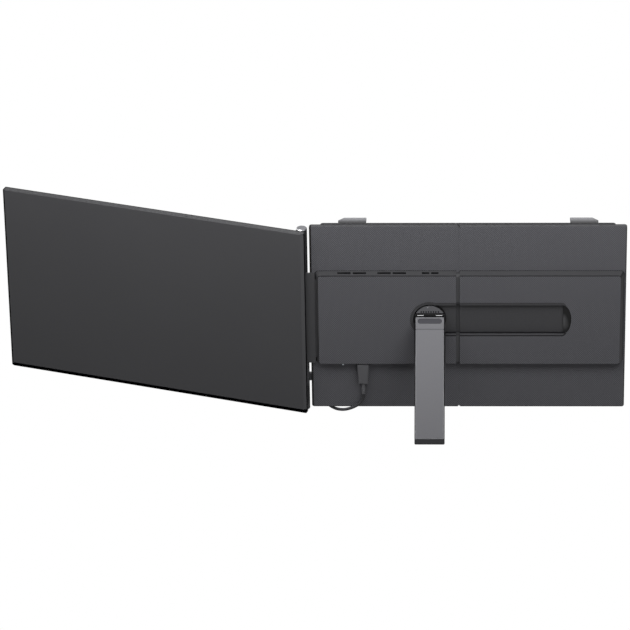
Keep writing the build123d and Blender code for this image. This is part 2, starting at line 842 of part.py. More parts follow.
with BuildPart() as hub_retainer:
    with BuildSketch(rear_plane(post_end)):
        with Locations((hub_x, recess_center_z)):
            Circle(retainer_radius)
            Circle(post_shoulder, mode=Mode.SUBTRACT)
    extrude(amount=retainer_thickness)
hub_retainer.part.label = "hub_retainer"

with BuildPart() as leg_pin:
    with Locations((hub_x, leg_axis_y, leg_axis_z)):
        Cylinder(leg_pin_radius, 2 * lug_end, rotation=(0, 90, 0))
leg_pin.part.label = "leg_pin"

# Leg: a dark core, two metal knuckles whose tabs sit in it, a metal cover sheet and a rubber foot
core_end = leg_length - foot_length
core_face = leg_core - leg_back
leg_face = core_face + cover_sheet
knuckle_length = knuckle_outer - knuckle_inner
knuckle_offset = (knuckle_inner + knuckle_outer) / 2
tab_level = -leg_back + leg_core / 2

with BuildPart() as leg_core_body:
    with BuildSketch(leg_plane(-leg_back)):
        with Locations((0, -(leg_start + core_end) / 2)):
            Rectangle(leg_width, core_end - leg_start)
    extrude(amount=leg_core)
    with BuildSketch(leg_plane(-tongue_thickness / 2)):
        with Locations((0, -core_end - tongue_length / 2)):
            Rectangle(tongue_width, tongue_length)
    extrude(amount=tongue_thickness)
    with BuildSketch(leg_plane(tab_level - tab_thickness / 2 - screw_gap)):
        for side in (-1, 1):
            with Locations((side * knuckle_offset, -leg_start - (tab_length + screw_gap) / 2)):
                Rectangle(knuckle_length + 2 * screw_gap, tab_length + screw_gap)
    extrude(amount=tab_thickness + 2 * screw_gap, mode=Mode.SUBTRACT)
    with Locations((hub_x, leg_axis_y, leg_axis_z)):
        Cylinder(knuckle_radius + lug_gap, 2 * lug_end, rotation=(0, 90, 0), mode=Mode.SUBTRACT)
leg_core_body.part.label = "leg_core"

with BuildPart() as leg_knuckles:
    with BuildSketch(leg_plane(-leg_back)):
        for side in (-1, 1):
            with Locations((side * knuckle_offset, -leg_start / 2)):
                Rectangle(knuckle_length, leg_start)
    extrude(amount=leg_core)
    with BuildSketch(leg_plane(tab_level - tab_thickness / 2)):
        for side in (-1, 1):
            with Locations((side * knuckle_offset, -leg_start - tab_length / 2)):
                Rectangle(knuckle_length, tab_length)
    extrude(amount=tab_thickness)
    with Locations(leg_axis - (knuckle_offset, 0, 0), leg_axis + (knuckle_offset, 0, 0)):
        Cylinder(knuckle_radius, knuckle_length, rotation=(0, 90, 0))
    with Locations(leg_axis):
        Cylinder(leg_pin_radius + leg_pin_gap, 2 * lug_end, rotation=(0, 90, 0), mode=Mode.SUBTRACT)
leg_knuckles.part.label = "leg_knuckles"

with BuildPart() as leg_cover:
    with BuildSketch(leg_plane(core_face)):
        with Locations((0, -(cover_start + core_end) / 2)):
            Rectangle(cover_width, core_end - cover_start)
    extrude(amount=cover_sheet)
    chamfer(leg_cover.faces().sort_by(Axis(leg_axis, leg_out))[-1].edges(), cover_edge)
    with BuildSketch(leg_plane(core_face)):
        with Locations((0, -inlay_distance)):
            SlotOverall(inlay_width, inlay_height)
    extrude(amount=cover_sheet, mode=Mode.SUBTRACT)
    with BuildSketch(leg_plane(leg_face - line_depth)):
        with Locations((0, -line_distance)):
            Rectangle(cover_width, line_width)
    extrude(amount=line_depth, mode=Mode.SUBTRACT)
leg_cover.part.label = "leg_cover"

with BuildPart() as leg_foot:
    with BuildSketch(leg_plane(-leg_back)):
        with Locations((0, -core_end - foot_length / 2)):
            Rectangle(leg_width, foot_length)
    extrude(amount=leg_core + cover_sheet)
    far_end = leg_foot.edges().filter_by(lambda e: abs((e.tangent_at(0.5)).dot(leg_out)) > 0.99)
    fillet(far_end.sort_by(Axis(leg_axis, leg_down))[-2:], foot_corner)
    with BuildSketch(leg_plane(-tongue_thickness / 2 - screw_gap)):
        with Locations((0, -core_end - (tongue_length + screw_gap) / 2)):
            Rectangle(tongue_width + 2 * screw_gap, tongue_length + screw_gap)
    extrude(amount=tongue_thickness + 2 * screw_gap, mode=Mode.SUBTRACT)
leg_foot.part.label = "leg_foot"

# Hinge arm: a plate inside the housing, a neck out of its wall and the fixed knuckle
outer_x = housing_left - screw_gap * 4
neck_inner = housing_left + left_draft + cover_wall
bolt_spots = [(bolt_x, -bolt_spacing), (bolt_x, 0), (bolt_x, bolt_spacing)]
arm_rear = plate_rear - arm_rise

with BuildPart() as hinge_arm:
    with BuildSketch(Plane.XY.offset(arm_bottom)):
        with BuildLine():
            Polyline(
                (outer_x, plate_rear),
                (hinge_x, plate_rear),
                (hinge_x, -hinge_depth - barrel_radius),
                (outer_x, arm_rear),
                close=True,
            )
        make_face()
    extrude(amount=knuckle_top - arm_bottom)
    with BuildSketch(Plane.XY.offset(-neck_half)):
        with Locations(((outer_x + neck_inner) / 2, plate_rear - arm_plate / 2)):
            Rectangle(neck_inner - outer_x, arm_plate)
    extrude(amount=2 * neck_half)
    with BuildSketch(Plane.XY.offset(-arm_half)):
        with Locations(((arm_inner + neck_inner) / 2, plate_rear - arm_plate / 2)):
            Rectangle(arm_inner - neck_inner, arm_plate)
    extrude(amount=2 * arm_half)
    with BuildSketch(Plane.XY.offset(knuckle_bottom)):
        with Locations((hinge_x, -hinge_depth)):
            Circle(barrel_radius)
    extrude(amount=knuckle_top - knuckle_bottom)
    with BuildSketch(Plane.XY.offset(knuckle_bottom)):
        with Locations((hinge_x, -hinge_depth)):
            Circle(pin_radius)
    extrude(amount=knuckle_top - knuckle_bottom, mode=Mode.SUBTRACT)
    with BuildSketch(rear_plane(plate_rear)):
        with Locations(*bolt_spots):
            Circle(bolt_radius)
    extrude(amount=arm_plate, mode=Mode.SUBTRACT)
    with Locations((hinge_x + tongue_reach + barrel_radius, plate_front + tongue_gap + end_thickness / 2, tongue_z)):
        Box(
            2 * barrel_radius,
            end_thickness + 2 * tongue_gap,
            tongue_height + 2 * tongue_gap,
            mode=Mode.SUBTRACT,
        )
hinge_arm.part.label = "hinge_arm"

with BuildPart() as arm_bolts:
    with BuildSketch(rear_plane(plate_rear + bolt_reach)):
        with Locations(*bolt_spots):
            Circle(bolt_radius)
    extrude(amount=bolt_reach + arm_plate)
    with BuildSketch(rear_plane(plate_rear - arm_plate)):
        with Locations(*bolt_spots):
            Circle(bolt_head_radius)
    extrude(amount=bolt_head)
arm_bolts.part.label = "arm_bolts"

upper_low = knuckle_top + barrel_gap
upper_high = panel_top_z - cap_thickness
lower_low = panel_bottom_z + cap_thickness
lower_high = knuckle_bottom - barrel_gap
pin_low = lower_low + barrel_gap
pin_high = upper_high - barrel_gap
upper_screws_z = third_points(upper_low, upper_high)
lower_screws_z = third_points(lower_low + bottom_bevel, lower_high)

with BuildPart() as hinge_pin:
    with BuildSketch(Plane.XY.offset(pin_low)):
        with Locations((hinge_x, -hinge_depth)):
            Circle(pin_radius)
            Circle(pin_radius / 2, mode=Mode.SUBTRACT)
    extrude(amount=pin_high - pin_low)
hinge_pin.part.label = "hinge_pin"


def barrel(low, high, screws):
    """A moving stretch of the hinge: a tube on a block that stands on the display's bezel."""
    with BuildPart() as tube:
        with BuildSketch(hinge_section(low)):
            Circle(barrel_radius)
            with Locations((0, -panel_offset / 2)):
                Rectangle(2 * block_half, panel_offset)
            Circle(barrel_bore, mode=Mode.SUBTRACT)
        extrude(amount=high - low)
        with BuildSketch(panel_plane(hinge_screw_reach)):
            with Locations(*[(hinge_screw_u, z - panel_center_z) for z in screws]):
                Circle(hinge_screw_radius)
        extrude(amount=panel_offset - hinge_screw_reach, mode=Mode.SUBTRACT)
    return tube.part


upper_barrel = barrel(upper_low, upper_high, upper_screws_z)
upper_barrel.label = "upper_barrel"
lower_barrel = barrel(lower_low, lower_high, lower_screws_z)
lower_barrel.label = "lower_barrel"


def barrel_cap(low, outside):
    """A disc that closes one end of the barrel; outside is 0 for its lower face and -1 for its upper."""
    with BuildPart() as cap:
        with BuildSketch(Plane.XY.offset(low)):
            with Locations((hinge_x, -hinge_depth)):
                Circle(barrel_radius)
        extrude(amount=cap_thickness)
        chamfer(cap.faces().sort_by(Axis.Z)[outside].edges(), cap_edge)
    return cap.part


upper_barrel_cap = barrel_cap(panel_top_z - cap_thickness, -1)
upper_barrel_cap.label = "upper_barrel_cap"
lower_barrel_cap = barrel_cap(panel_bottom_z, 0)
lower_barrel_cap.label = "lower_barrel_cap"

# Display. Depths run from the hinge axis towards the back.
bezel_rear = panel_offset + bezel_thickness
panel_back_depth = panel_offset + panel_thickness
panel_left_u = panel_overhang - panel_width
panel_low = -panel_height / 2
panel_high = panel_height / 2
pane_width = active_width + 2 * pane_margin
pane_height = active_height + 2 * pane_margin
module_rear = bezel_rear + module_thickness
backlight_rear = module_rear + backlight_thickness
screw_spots = [(hinge_screw_u, z - panel_center_z) for z in upper_screws_z + lower_screws_z]


def panel_section(u):
    """Vertical plane across the display at u; X runs out of its back, extrusions run to its left."""
    center = hinge_point + panel_right * u + Vector(0, 0, panel_center_z)
    return Plane(origin=center, x_dir=panel_rear, z_dir=-panel_right)


with BuildPart() as panel_bezel:
    with BuildSketch(panel_plane(panel_offset)):
        with Locations((panel_mid, 0)):
            RectangleRounded(panel_width, panel_height, panel_corner)
        with Locations((panel_mid, active_lift)):
            Rectangle(pane_width + 2 * pane_gap, pane_height + 2 * pane_gap, mode=Mode.SUBTRACT)
        with Locations(*screw_spots):
            Circle(hinge_screw_radius, mode=Mode.SUBTRACT)
    extrude(amount=bezel_thickness)
panel_bezel.part.label = "panel_bezel"

with BuildPart() as screen_pane:
    with BuildSketch(panel_plane(panel_offset)):
        with Locations((panel_mid, active_lift)):
            Rectangle(pane_width, pane_height)
    extrude(amount=bezel_thickness)
screen_pane.part.label = "screen_pane"

with BuildPart() as display_module:
    with BuildSketch(panel_plane(bezel_rear)):
        with Locations((panel_mid, active_lift)):
            Rectangle(active_width + 2 * module_margin, active_height + 2 * module_margin)
    extrude(amount=module_thickness)
display_module.part.label = "display_module"

with BuildPart() as backlight:
    with BuildSketch(panel_plane(module_rear)):
        with Locations((panel_mid, active_lift)):
            Rectangle(active_width + module_margin, active_height + module_margin)
    extrude(amount=backlight_thickness)
backlight.part.label = "backlight"

with BuildPart() as driver_board:
    with BuildSketch(panel_plane(backlight_rear)):
        with Locations((panel_mid, active_lift - active_height / 2 + board_height)):
            Rectangle(board_length, board_height)
    extrude(amount=board_thickness)
driver_board.part.label = "driver_board"

with BuildPart() as panel_rear_cover:
    with BuildSketch(panel_plane(bezel_rear)):
        with Locations((panel_mid, 0)):
            RectangleRounded(panel_width, panel_height, panel_corner)
    extrude(amount=panel_back_depth - bezel_rear)
    with BuildSketch(panel_section(panel_overhang)):
        with BuildLine():
            Polyline(
                (bezel_rear, panel_low),
                (panel_back_depth - bottom_bevel_depth, panel_low),
                (panel_back_depth, panel_low + bottom_bevel),
                (panel_back_depth, panel_high - top_bevel),
                (panel_back_depth - top_bevel, panel_high),
                (bezel_rear, panel_high),
                close=True,
            )
        make_face()
    extrude(amount=panel_width, mode=Mode.INTERSECT)
    with BuildSketch(hinge_section(panel_bottom_z)):
        with BuildLine():
            Polyline(
                (panel_overhang, -bezel_rear),
                (panel_left_u, -bezel_rear),
                (panel_left_u, -panel_back_depth + left_bevel),
                (panel_left_u + left_bevel, -panel_back_depth),
                (panel_overhang - hinge_bevel, -panel_back_depth),
                (panel_overhang, -panel_back_depth + hinge_bevel_depth),
                close=True,
            )
        make_face()
    extrude(amount=panel_height, mode=Mode.INTERSECT)
    cavity_left = panel_left_u + left_bevel + panel_wall
    cavity_right = panel_overhang - hinge_bevel - panel_wall
    cavity_low = panel_low + bottom_bevel + panel_wall
    cavity_high = panel_high - top_bevel - panel_wall
    with BuildSketch(panel_plane(bezel_rear)):
        with Locations(((cavity_left + cavity_right) / 2, (cavity_low + cavity_high) / 2)):
            Rectangle(cavity_right - cavity_left, cavity_high - cavity_low)
    extrude(amount=panel_back_depth - panel_back - bezel_rear, mode=Mode.SUBTRACT)
panel_rear_cover.part.label = "panel_rear_cover"

with BuildPart() as hinge_screws:
    with BuildSketch(panel_plane(hinge_screw_reach)):
        with Locations(*screw_spots):
            Circle(hinge_screw_radius)
    extrude(amount=bezel_rear - hinge_screw_reach)
    with BuildSketch(panel_plane(bezel_rear)):
        with Locations(*screw_spots):
            Circle(hinge_screw_head_radius)
    extrude(amount=hinge_screw_head)
hinge_screws.part.label = "hinge_screws"

# Circuit board with its sockets, switches and lamp, in the left half of the housing
with BuildPart() as circuit_board:
    with BuildSketch(rear_plane(circuit_front)):
        with Locations(((circuit_left + circuit_right) / 2, (circuit_bottom + circuit_top) / 2)):
            Rectangle(circuit_right - circuit_left, circuit_top - circuit_bottom)
        with Locations(((circuit_tail_left + circuit_left) / 2, circuit_bottom + circuit_tail_height / 2)):
            Rectangle(circuit_left - circuit_tail_left, circuit_tail_height)
    extrude(amount=circuit_thickness)
    with BuildSketch(rear_plane(plate_rear)):
        with Locations(
            (circuit_left + standoff_inset, circuit_top - standoff_inset),
            (circuit_right - standoff_inset, circuit_top - standoff_inset),
            (circuit_right - standoff_inset, circuit_bottom + standoff_inset),
            (circuit_tail_left + standoff_inset, circuit_bottom + standoff_inset),
        ):
            Circle(standoff_radius)
    extrude(amount=plate_rear - circuit_front)
circuit_board.part.label = "circuit_board"


def socket(x, width, height, length):
    """A sheet-metal socket whose mouth is flush with the housing's bottom wall."""
    with BuildPart() as shell:
        with BuildSketch(Plane.XY.offset(port_wall_z)):
            with Locations((x, port_y)):
                RectangleRounded(width + 2 * usb_wall, height + 2 * usb_wall, height / 3)
        extrude(amount=length)
        with BuildSketch(Plane.XY.offset(port_wall_z)):
            with Locations((x, port_y)):
                RectangleRounded(width, height, height / 4)
        extrude(amount=length - usb_wall, mode=Mode.SUBTRACT)
    return shell.part


usb_socket_left = socket(usb_positions[0], usb_width, usb_height, usb_length)
usb_socket_left.label = "usb_socket_left"
usb_socket_right = socket(usb_positions[1], usb_width, usb_height, usb_length)
usb_socket_right.label = "usb_socket_right"
hdmi_socket = socket(hdmi_x, hdmi_width, hdmi_height, hdmi_length)
hdmi_socket.label = "hdmi_socket"

with BuildPart() as status_lamp:
    with BuildSketch(Plane.XY.offset(port_wall_z - led_proud)):
        with Locations((led_x, port_y)):
            Circle(led_radius)
    extrude(amount=led_proud + usb_length / 2)
    with Locations((led_x, (port_y + circuit_rear) / 2, port_wall_z + usb_length / 2 + led_radius)):
        Box(2 * led_radius, circuit_rear - port_y, 2 * led_radius)
    with Locations((led_x, port_y, port_wall_z + usb_length / 2 + led_radius)):
        Box(2 * led_radius, led_radius, 2 * led_radius)
status_lamp.part.label = "status_lamp"

flange_z = circuit_bottom + button_inner / 2


def button(name):
    """A push button in the housing's bottom wall, with a flange inside that keeps it in."""
    x = button_positions[name]
    with BuildPart() as cap:
        with BuildSketch(Plane.XY.offset(port_wall_z - button_proud)):
            with Locations((x, port_y)):
                RectangleRounded(button_width, button_height, button_height / 3)
        extrude(amount=flange_z + button_flange - port_wall_z + button_proud)
        with BuildSketch(Plane.XY.offset(flange_z)):
            with Locations((x, port_y)):
                Rectangle(button_width + 2 * button_flange, button_height)
        extrude(amount=button_flange)
    cap.part.label = name
    return cap.part


buttons = [button(name) for name in button_positions]

with BuildPart() as button_switches:
    with BuildSketch(rear_plane(circuit_rear)):
        with Locations(
            *[
                (x, flange_z + button_flange + button_travel + button_gap + button_inner / 2)
                for x in button_positions.values()
            ]
        ):
            Rectangle(button_width, button_inner)
    extrude(amount=circuit_rear - port_y + button_height / 2)
button_switches.part.label = "button_switches"

# Jumper lead: plug, strain relief, cable and moulded end
plug_top = housing_bottom - plug_gap
plug_x = usb_positions[0]
relief_top = plug_top - plug_length
lead_start_z = relief_top - relief_length

with BuildPart() as jumper_plug:
    with BuildSketch(Plane.XY.offset(relief_top)):
        with Locations((plug_x, port_y)):
            RectangleRounded(plug_end_width, plug_thickness, plug_thickness / 4)
    with BuildSketch(Plane.XY.offset(plug_top)):
        with Locations((plug_x, port_y)):
            RectangleRounded(plug_width, plug_thickness, plug_thickness / 4)
    loft(ruled=True)
    chamfer(jumper_plug.faces().sort_by(Axis.Z)[0].edges(), plug_thickness / 12)
jumper_plug.part.label = "jumper_plug"

with BuildPart() as jumper_plug_shell:
    with BuildSketch(Plane.XY.offset(plug_top)):
        with Locations((plug_x, port_y)):
            RectangleRounded(
                usb_width - 2 * shell_clearance, usb_height - 2 * shell_clearance, usb_height / 4
            )
    extrude(amount=shell_insert)
jumper_plug_shell.part.label = "jumper_plug_shell"

with BuildPart() as jumper_relief:
    with BuildSketch(Plane.XY.offset(lead_start_z)):
        with Locations((plug_x, port_y)):
            Circle(relief_end_radius)
    with BuildSketch(Plane.XY.offset(relief_top)):
        with Locations((plug_x, port_y)):
            Circle(relief_top_radius)
    loft()
jumper_relief.part.label = "jumper_relief"

end_y = plate_front + tongue_gap + end_thickness / 2
end_bottom = tongue_z - tongue_height / 2 - end_drop
lead_points = [
    (plug_x, port_y, lead_start_z),
    (plug_x, port_y, -93.4),
    (-31.0, -10.6, -99.6),
    (-39.2, -9.0, -105.4),
    (-48.2, -6.2, -109.3),
    (-56.8, -3.4, -109.2),
    (-64.0, -1.9, -104.8),
    (-70.4, -1.9, -98.8),
    (end_x, end_y, -90.5),
    (end_x, end_y, end_bottom),
]


def bend_radii(points):
    """For each corner, 0.45 of its shorter run over the tangent of half the turn."""
    radii = []
    for before, here, after in zip(points, points[1:], points[2:]):
        run_in = Vector(*here) - Vector(*before)
        run_out = Vector(*after) - Vector(*here)
        half_turn = radians(run_in.get_angle(run_out)) / 2
        radii.append(0.45 * min(run_in.length, run_out.length) * cos(half_turn) / sin(half_turn))
    return radii


lead_radii = bend_radii(lead_points)
with BuildPart() as jumper_lead:
    with BuildLine() as lead_route:
        FilletPolyline(*lead_points, radius=lead_radii)
    with BuildSketch(Plane(origin=lead_points[0], z_dir=lead_route.wires()[0] % 0)):
        Circle(lead_radius)
    sweep()
jumper_lead.part.label = "jumper_lead"
lead_length = lead_route.wires()[0].length
print("lead length", round(lead_length, 1), "radii", [round(r, 1) for r in lead_radii])
print("lead volume over section times length", jumper_lead.part.volume / (pi * lead_radius**2 * lead_length))

with BuildPart() as jumper_end:
    with BuildSketch(rear_plane(plate_front + tongue_gap + end_thickness)):
        with Locations((end_x, end_bottom + end_length / 2)):
            RectangleRounded(end_width, end_length, end_width / 5)
        tongue_left = hinge_x + tongue_reach + tongue_gap
        with Locations(((tongue_left + end_x) / 2, tongue_z)):
            Rectangle(end_x - tongue_left, tongue_height)
    extrude(amount=end_thickness)
jumper_end.part.label = "jumper_end"

pieces = [
    left_back_plate.part,
    right_back_plate.part,
    left_front_frame.part,
    right_front_frame.part,
    left_front_pad.part,
    right_front_pad.part,
    left_frame_screws,
    right_frame_screws,
    slide_rails.part,
    rail_bushes.part,
    left_housing_cover.part,
    right_housing_cover.part,
    slide_sleeve.part,
    left_hook,
    right_hook,
    left_hook_liner,
    right_hook_liner,
    stand_hub.part,
    hub_retainer.part,
    leg_pin.part,
    leg_core_body.part,
    leg_knuckles.part,
    leg_cover.part,
    leg_foot.part,
    hinge_arm.part,
    arm_bolts.part,
    hinge_pin.part,
    upper_barrel,
    lower_barrel,
    upper_barrel_cap,
    lower_barrel_cap,
    panel_bezel.part,
    screen_pane.part,
    display_module.part,
    backlight.part,
    driver_board.part,
    panel_rear_cover.part,
    hinge_screws.part,
    circuit_board.part,
    usb_socket_left,
    usb_socket_right,
    hdmi_socket,
    status_lamp.part,
    *buttons,
    button_switches.part,
    jumper_plug.part,
    jumper_plug_shell.part,
    jumper_relief.part,
    jumper_lead.part,
    jumper_end.part,
]

for piece in pieces:
    export_step(piece, f"parts/{piece.label}.step")
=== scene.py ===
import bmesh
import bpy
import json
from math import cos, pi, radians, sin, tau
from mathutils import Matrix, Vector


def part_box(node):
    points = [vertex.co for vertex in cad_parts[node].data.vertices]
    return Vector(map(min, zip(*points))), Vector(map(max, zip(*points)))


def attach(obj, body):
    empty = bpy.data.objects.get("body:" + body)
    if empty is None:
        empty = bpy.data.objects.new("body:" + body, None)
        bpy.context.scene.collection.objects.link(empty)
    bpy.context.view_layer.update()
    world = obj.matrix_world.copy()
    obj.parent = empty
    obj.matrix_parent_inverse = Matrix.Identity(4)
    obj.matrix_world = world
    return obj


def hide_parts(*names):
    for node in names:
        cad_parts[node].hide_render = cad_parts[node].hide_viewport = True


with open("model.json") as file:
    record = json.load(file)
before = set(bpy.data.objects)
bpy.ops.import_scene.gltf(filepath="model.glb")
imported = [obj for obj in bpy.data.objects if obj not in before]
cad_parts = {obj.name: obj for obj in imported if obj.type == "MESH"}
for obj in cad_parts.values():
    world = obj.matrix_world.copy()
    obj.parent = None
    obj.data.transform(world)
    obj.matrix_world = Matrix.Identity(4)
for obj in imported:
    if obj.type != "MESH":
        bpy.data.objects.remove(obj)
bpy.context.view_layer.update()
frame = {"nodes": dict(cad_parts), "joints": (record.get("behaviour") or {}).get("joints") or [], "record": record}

# %% [markdown]
# # A laptop screen extender, seen from behind
#
# The model that was just loaded is finished in shape: a bracket plate in two sliding halves, a display
# hinged to its left edge and a leg that folds out behind. It is bare grey. This lesson gives it a camera,
# small pieces that the solids leave out, finishes, a lead and light. +X runs to the right as seen from
# behind, +Z up along the plate and +Y towards the laptop, and everything is in metres.

mm = 0.001

# %% [markdown]
# ## The camera
#
# The camera stands four metres behind the plate and two above it, with a long lens, which is why the
# plate's edges look almost parallel. Its place and its three angles were worked out from the corners of
# the plate and the display, so they stand here as numbers. Its directions are built up from the angles,
# because that keeps each one's meaning plain: yaw turns it, pitch tips it down and roll tilts the
# picture.

# %% Camera place and directions
def new_object(name, data):
    """An object in the scene that shows some data."""
    thing = bpy.data.objects.new(name, data)
    bpy.context.scene.collection.objects.link(thing)
    return thing


camera_place = Vector((0.0739, -4.0603, 2.2145))
yaw, pitch, roll = radians(-2.109), radians(28.608), radians(-1.022)
focal_pixels = 4542.7
picture_pixels = 630

forward = Vector((sin(yaw) * cos(pitch), cos(yaw) * cos(pitch), -sin(pitch)))
level_right = Vector((cos(yaw), -sin(yaw), 0))
level_up = level_right.cross(forward)
right = cos(roll) * level_right + sin(roll) * level_up
up = -sin(roll) * level_right + cos(roll) * level_up

camera_data = bpy.data.cameras.new("camera")
camera_data.sensor_width = 36
camera_data.lens = focal_pixels / picture_pixels * camera_data.sensor_width
camera_data.clip_start = 0.5
camera_data.clip_end = 60
camera = new_object("camera", camera_data)
turn = Matrix((right, up, -forward)).transposed().to_4x4()
camera.matrix_world = Matrix.Translation(camera_place) @ turn
bpy.context.scene.camera = camera
print("lens", round(camera_data.lens, 1), "mm")

# %% [markdown]
# ## Where things are
#
# Later pieces and finishes need a few places: the plate's and the housing's rear faces, the hub's middle
# and the leg's own directions. They could be typed in, but they are read from the loaded model where it
# holds them, so that they stay right if the model changes.

# %% Places read from the model
plate_low, plate_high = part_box("left_back_plate")
cover_low, cover_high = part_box("left_housing_cover")
cover_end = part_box("right_housing_cover")[1]
shelf_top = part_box("left_hook")[1].z
joints = {joint["name"]: joint for joint in frame["joints"]}
hub_middle = Vector(joints["stand_swivel"]["pos_m"])
leg_axis = Vector(joints["stand_flip"]["pos_m"])
leg_opening = radians(-joints["stand_flip"]["range_deg"][0])
leg_down = Vector((0, -sin(leg_opening), -cos(leg_opening)))
leg_out = Vector((0, -cos(leg_opening), sin(leg_opening)))
plate_face = plate_low.y
housing_face = cover_low.y
print("plate face", round(plate_face, 4), "housing face", round(housing_face, 4))
print("leg opens", round(leg_opening, 3), "radians")

# %% [markdown]
# ## Tools for the finishes
#
# Every finish is a small graph of shader nodes. It could be drawn by hand in the editor; here one
# function adds a node with its settings, values and links, so a line says what each node does. Patterns
# read the object's own coordinates, so they stay on a piece when it moves.

# %% Colours and nodes
def linear(hex_colour):
    """The linear colour of an sRGB hex value such as "#505052"."""
    channels = [int(hex_colour[i:i + 2], 16) / 255 for i in (1, 3, 5)]
    return (*[c / 12.92 if c <= 0.04045 else ((c + 0.055) / 1.055) ** 2.4 for c in channels], 1)


def set_inputs(node, **inputs):
    """Sets a node's inputs, named or numbered as in i0, each to a value or another node's output."""
    for name, value in inputs.items():
        key = int(name[1:]) if name[0] == "i" and name[1:].isdigit() else name.replace("_", " ")
        socket = node.inputs[key]
        if isinstance(value, bpy.types.NodeSocket):
            node.id_data.links.new(value, socket)
        else:
            socket.default_value = value


def add(near, kind, settings=None, **inputs):
    """Adds a node to the graph that near is part of; near is a tree, a node, or its outputs."""
    node = near.id_data.nodes.new(kind)
    for name, value in (settings or {}).items():
        setattr(node, name, value)
    set_inputs(node, **inputs)
    return node


def empty_graph(owner):
    """The graph of a new material or world, emptied."""
    owner.use_nodes = True
    owner.node_tree.nodes.clear()
    return owner.node_tree


def new_material(name):
    """A material with a bare graph: returns it, its shader and the object's own coordinates."""
    material = bpy.data.materials.new(name)
    tree = empty_graph(material)
    shader = add(tree, "ShaderNodeBsdfPrincipled")
    add(tree, "ShaderNodeOutputMaterial", Surface=shader.outputs[0])
    return material, shader, add(tree, "ShaderNodeTexCoord").outputs


def place_and_facing(local):
    """Where a point lies and which way it faces, each as its numbers along X, Y and Z."""
    place = add(local, "ShaderNodeSeparateXYZ", Vector=local["Object"])
    facing = add(local, "ShaderNodeSeparateXYZ", Vector=local["Normal"])
    return place.outputs, facing.outputs


def paint_over(mask, under, over):
    """The colour under, with the colour over on top where a mask is 1; each is hex, linear or an output."""
    colours = [linear(colour) if isinstance(colour, str) else colour for colour in (under, over)]
    mix = add(mask, "ShaderNodeMix", {"data_type": "RGBA"}, Factor=mask, i6=colours[0], i7=colours[1])
    return mix.outputs[2]


def mottled(pattern, colour, share):
    """A colour that sinks to a share of itself where a pattern is low."""
    deep = (*[share * c for c in linear(colour)[:3]], 1)
    return paint_over(pattern, deep, colour)


def make_grain(local, size_mm):
    """Fine random noise whose blotches are about a size in millimetres."""
    scale = 0.5 / (size_mm * mm)
    return add(local, "ShaderNodeTexNoise", Vector=local["Object"], Scale=scale, Detail=2.0).outputs["Fac"]


def set_relief(shader, height, depth_mm):
    """Gives a shader a relief whose full height is a depth in millimetres."""
    bump = add(shader, "ShaderNodeBump", Strength=1.0, Distance=depth_mm * mm, Height=height)
    set_inputs(shader, Normal=bump.outputs["Normal"])


plastic_ior = 1.5


def finish_plastic(shader, tint, height, roughness=0.6, level=0.2, depth_mm=0.02):
    """Gives a plastic, a rubber or a paint its colour, its sheen and its relief."""
    set_inputs(shader, Base_Color=tint, Roughness=roughness, IOR=plastic_ior, Specular_IOR_Level=level)
    set_relief(shader, height, depth_mm)


print("tools ready")

# %% [markdown]
# ## Masks
#
# Where one piece has two tones, its mesh could be cut in two. The cuts would only be there for the paint,
# so the finish works out a mask instead: a number that is 1 where a tone belongs and 0 elsewhere. Each
# mask is one comparison, or several joined.

# %% Masks
def above(value, limit):
    """1 where a value is over a limit, else 0."""
    return add(value, "ShaderNodeMath", {"operation": "GREATER_THAN"}, i0=value, i1=limit).outputs[0]


def below(value, limit):
    """1 where a value is under a limit, else 0."""
    return add(value, "ShaderNodeMath", {"operation": "LESS_THAN"}, i0=value, i1=limit).outputs[0]


def within(value, low, high):
    """1 where a value lies between two numbers, else 0."""
    middle, half = (low + high) / 2, abs(high - low) / 2
    return add(value, "ShaderNodeMath", {"operation": "COMPARE"}, i0=value, i1=middle, i2=half).outputs[0]


def joined(operation, masks):
    """Several masks joined one after the other by an operation."""
    result = masks[0]
    for mask in masks[1:]:
        result = add(mask, "ShaderNodeMath", {"operation": operation}, i0=result, i1=mask).outputs[0]
    return result


def all_of(*masks):
    """The product of masks: 1 where every one is 1."""
    return joined("MULTIPLY", masks)


def any_of(*masks):
    """The greatest of masks: 1 where one of them is 1."""
    return joined("MAXIMUM", masks)


def towards(vector, axis):
    """How far a vector points along an axis."""
    dot = add(vector, "ShaderNodeVectorMath", {"operation": "DOT_PRODUCT"}, i0=vector, i1=axis)
    return dot.outputs["Value"]


print("masks ready")

# %% [markdown]
# ## Edges that are not knife sharp
#
# A moulded or pressed edge always has a small radius, and the thin line of light along it is what makes
# an edge read as real. The loaded solids have sharp edges. Their meshes are left alone: each is copied,
# its loose triangles are merged, and a Bevel modifier rounds the copy, which then stands for the solid.
# Smooth shading would bend the light on the large faces beside it too, so a Weighted Normal modifier
# gives each corner the direction of the largest face that meets there.

# %% Rounded copies
softened = {}
merge_distance = 0.002 * mm
flat_angle, sharp_angle = radians(1), radians(28)
bodies = frame["record"]["behaviour"]["bodies"]
body_of_node = {node: body for body, nodes in bodies.items() for node in nodes}


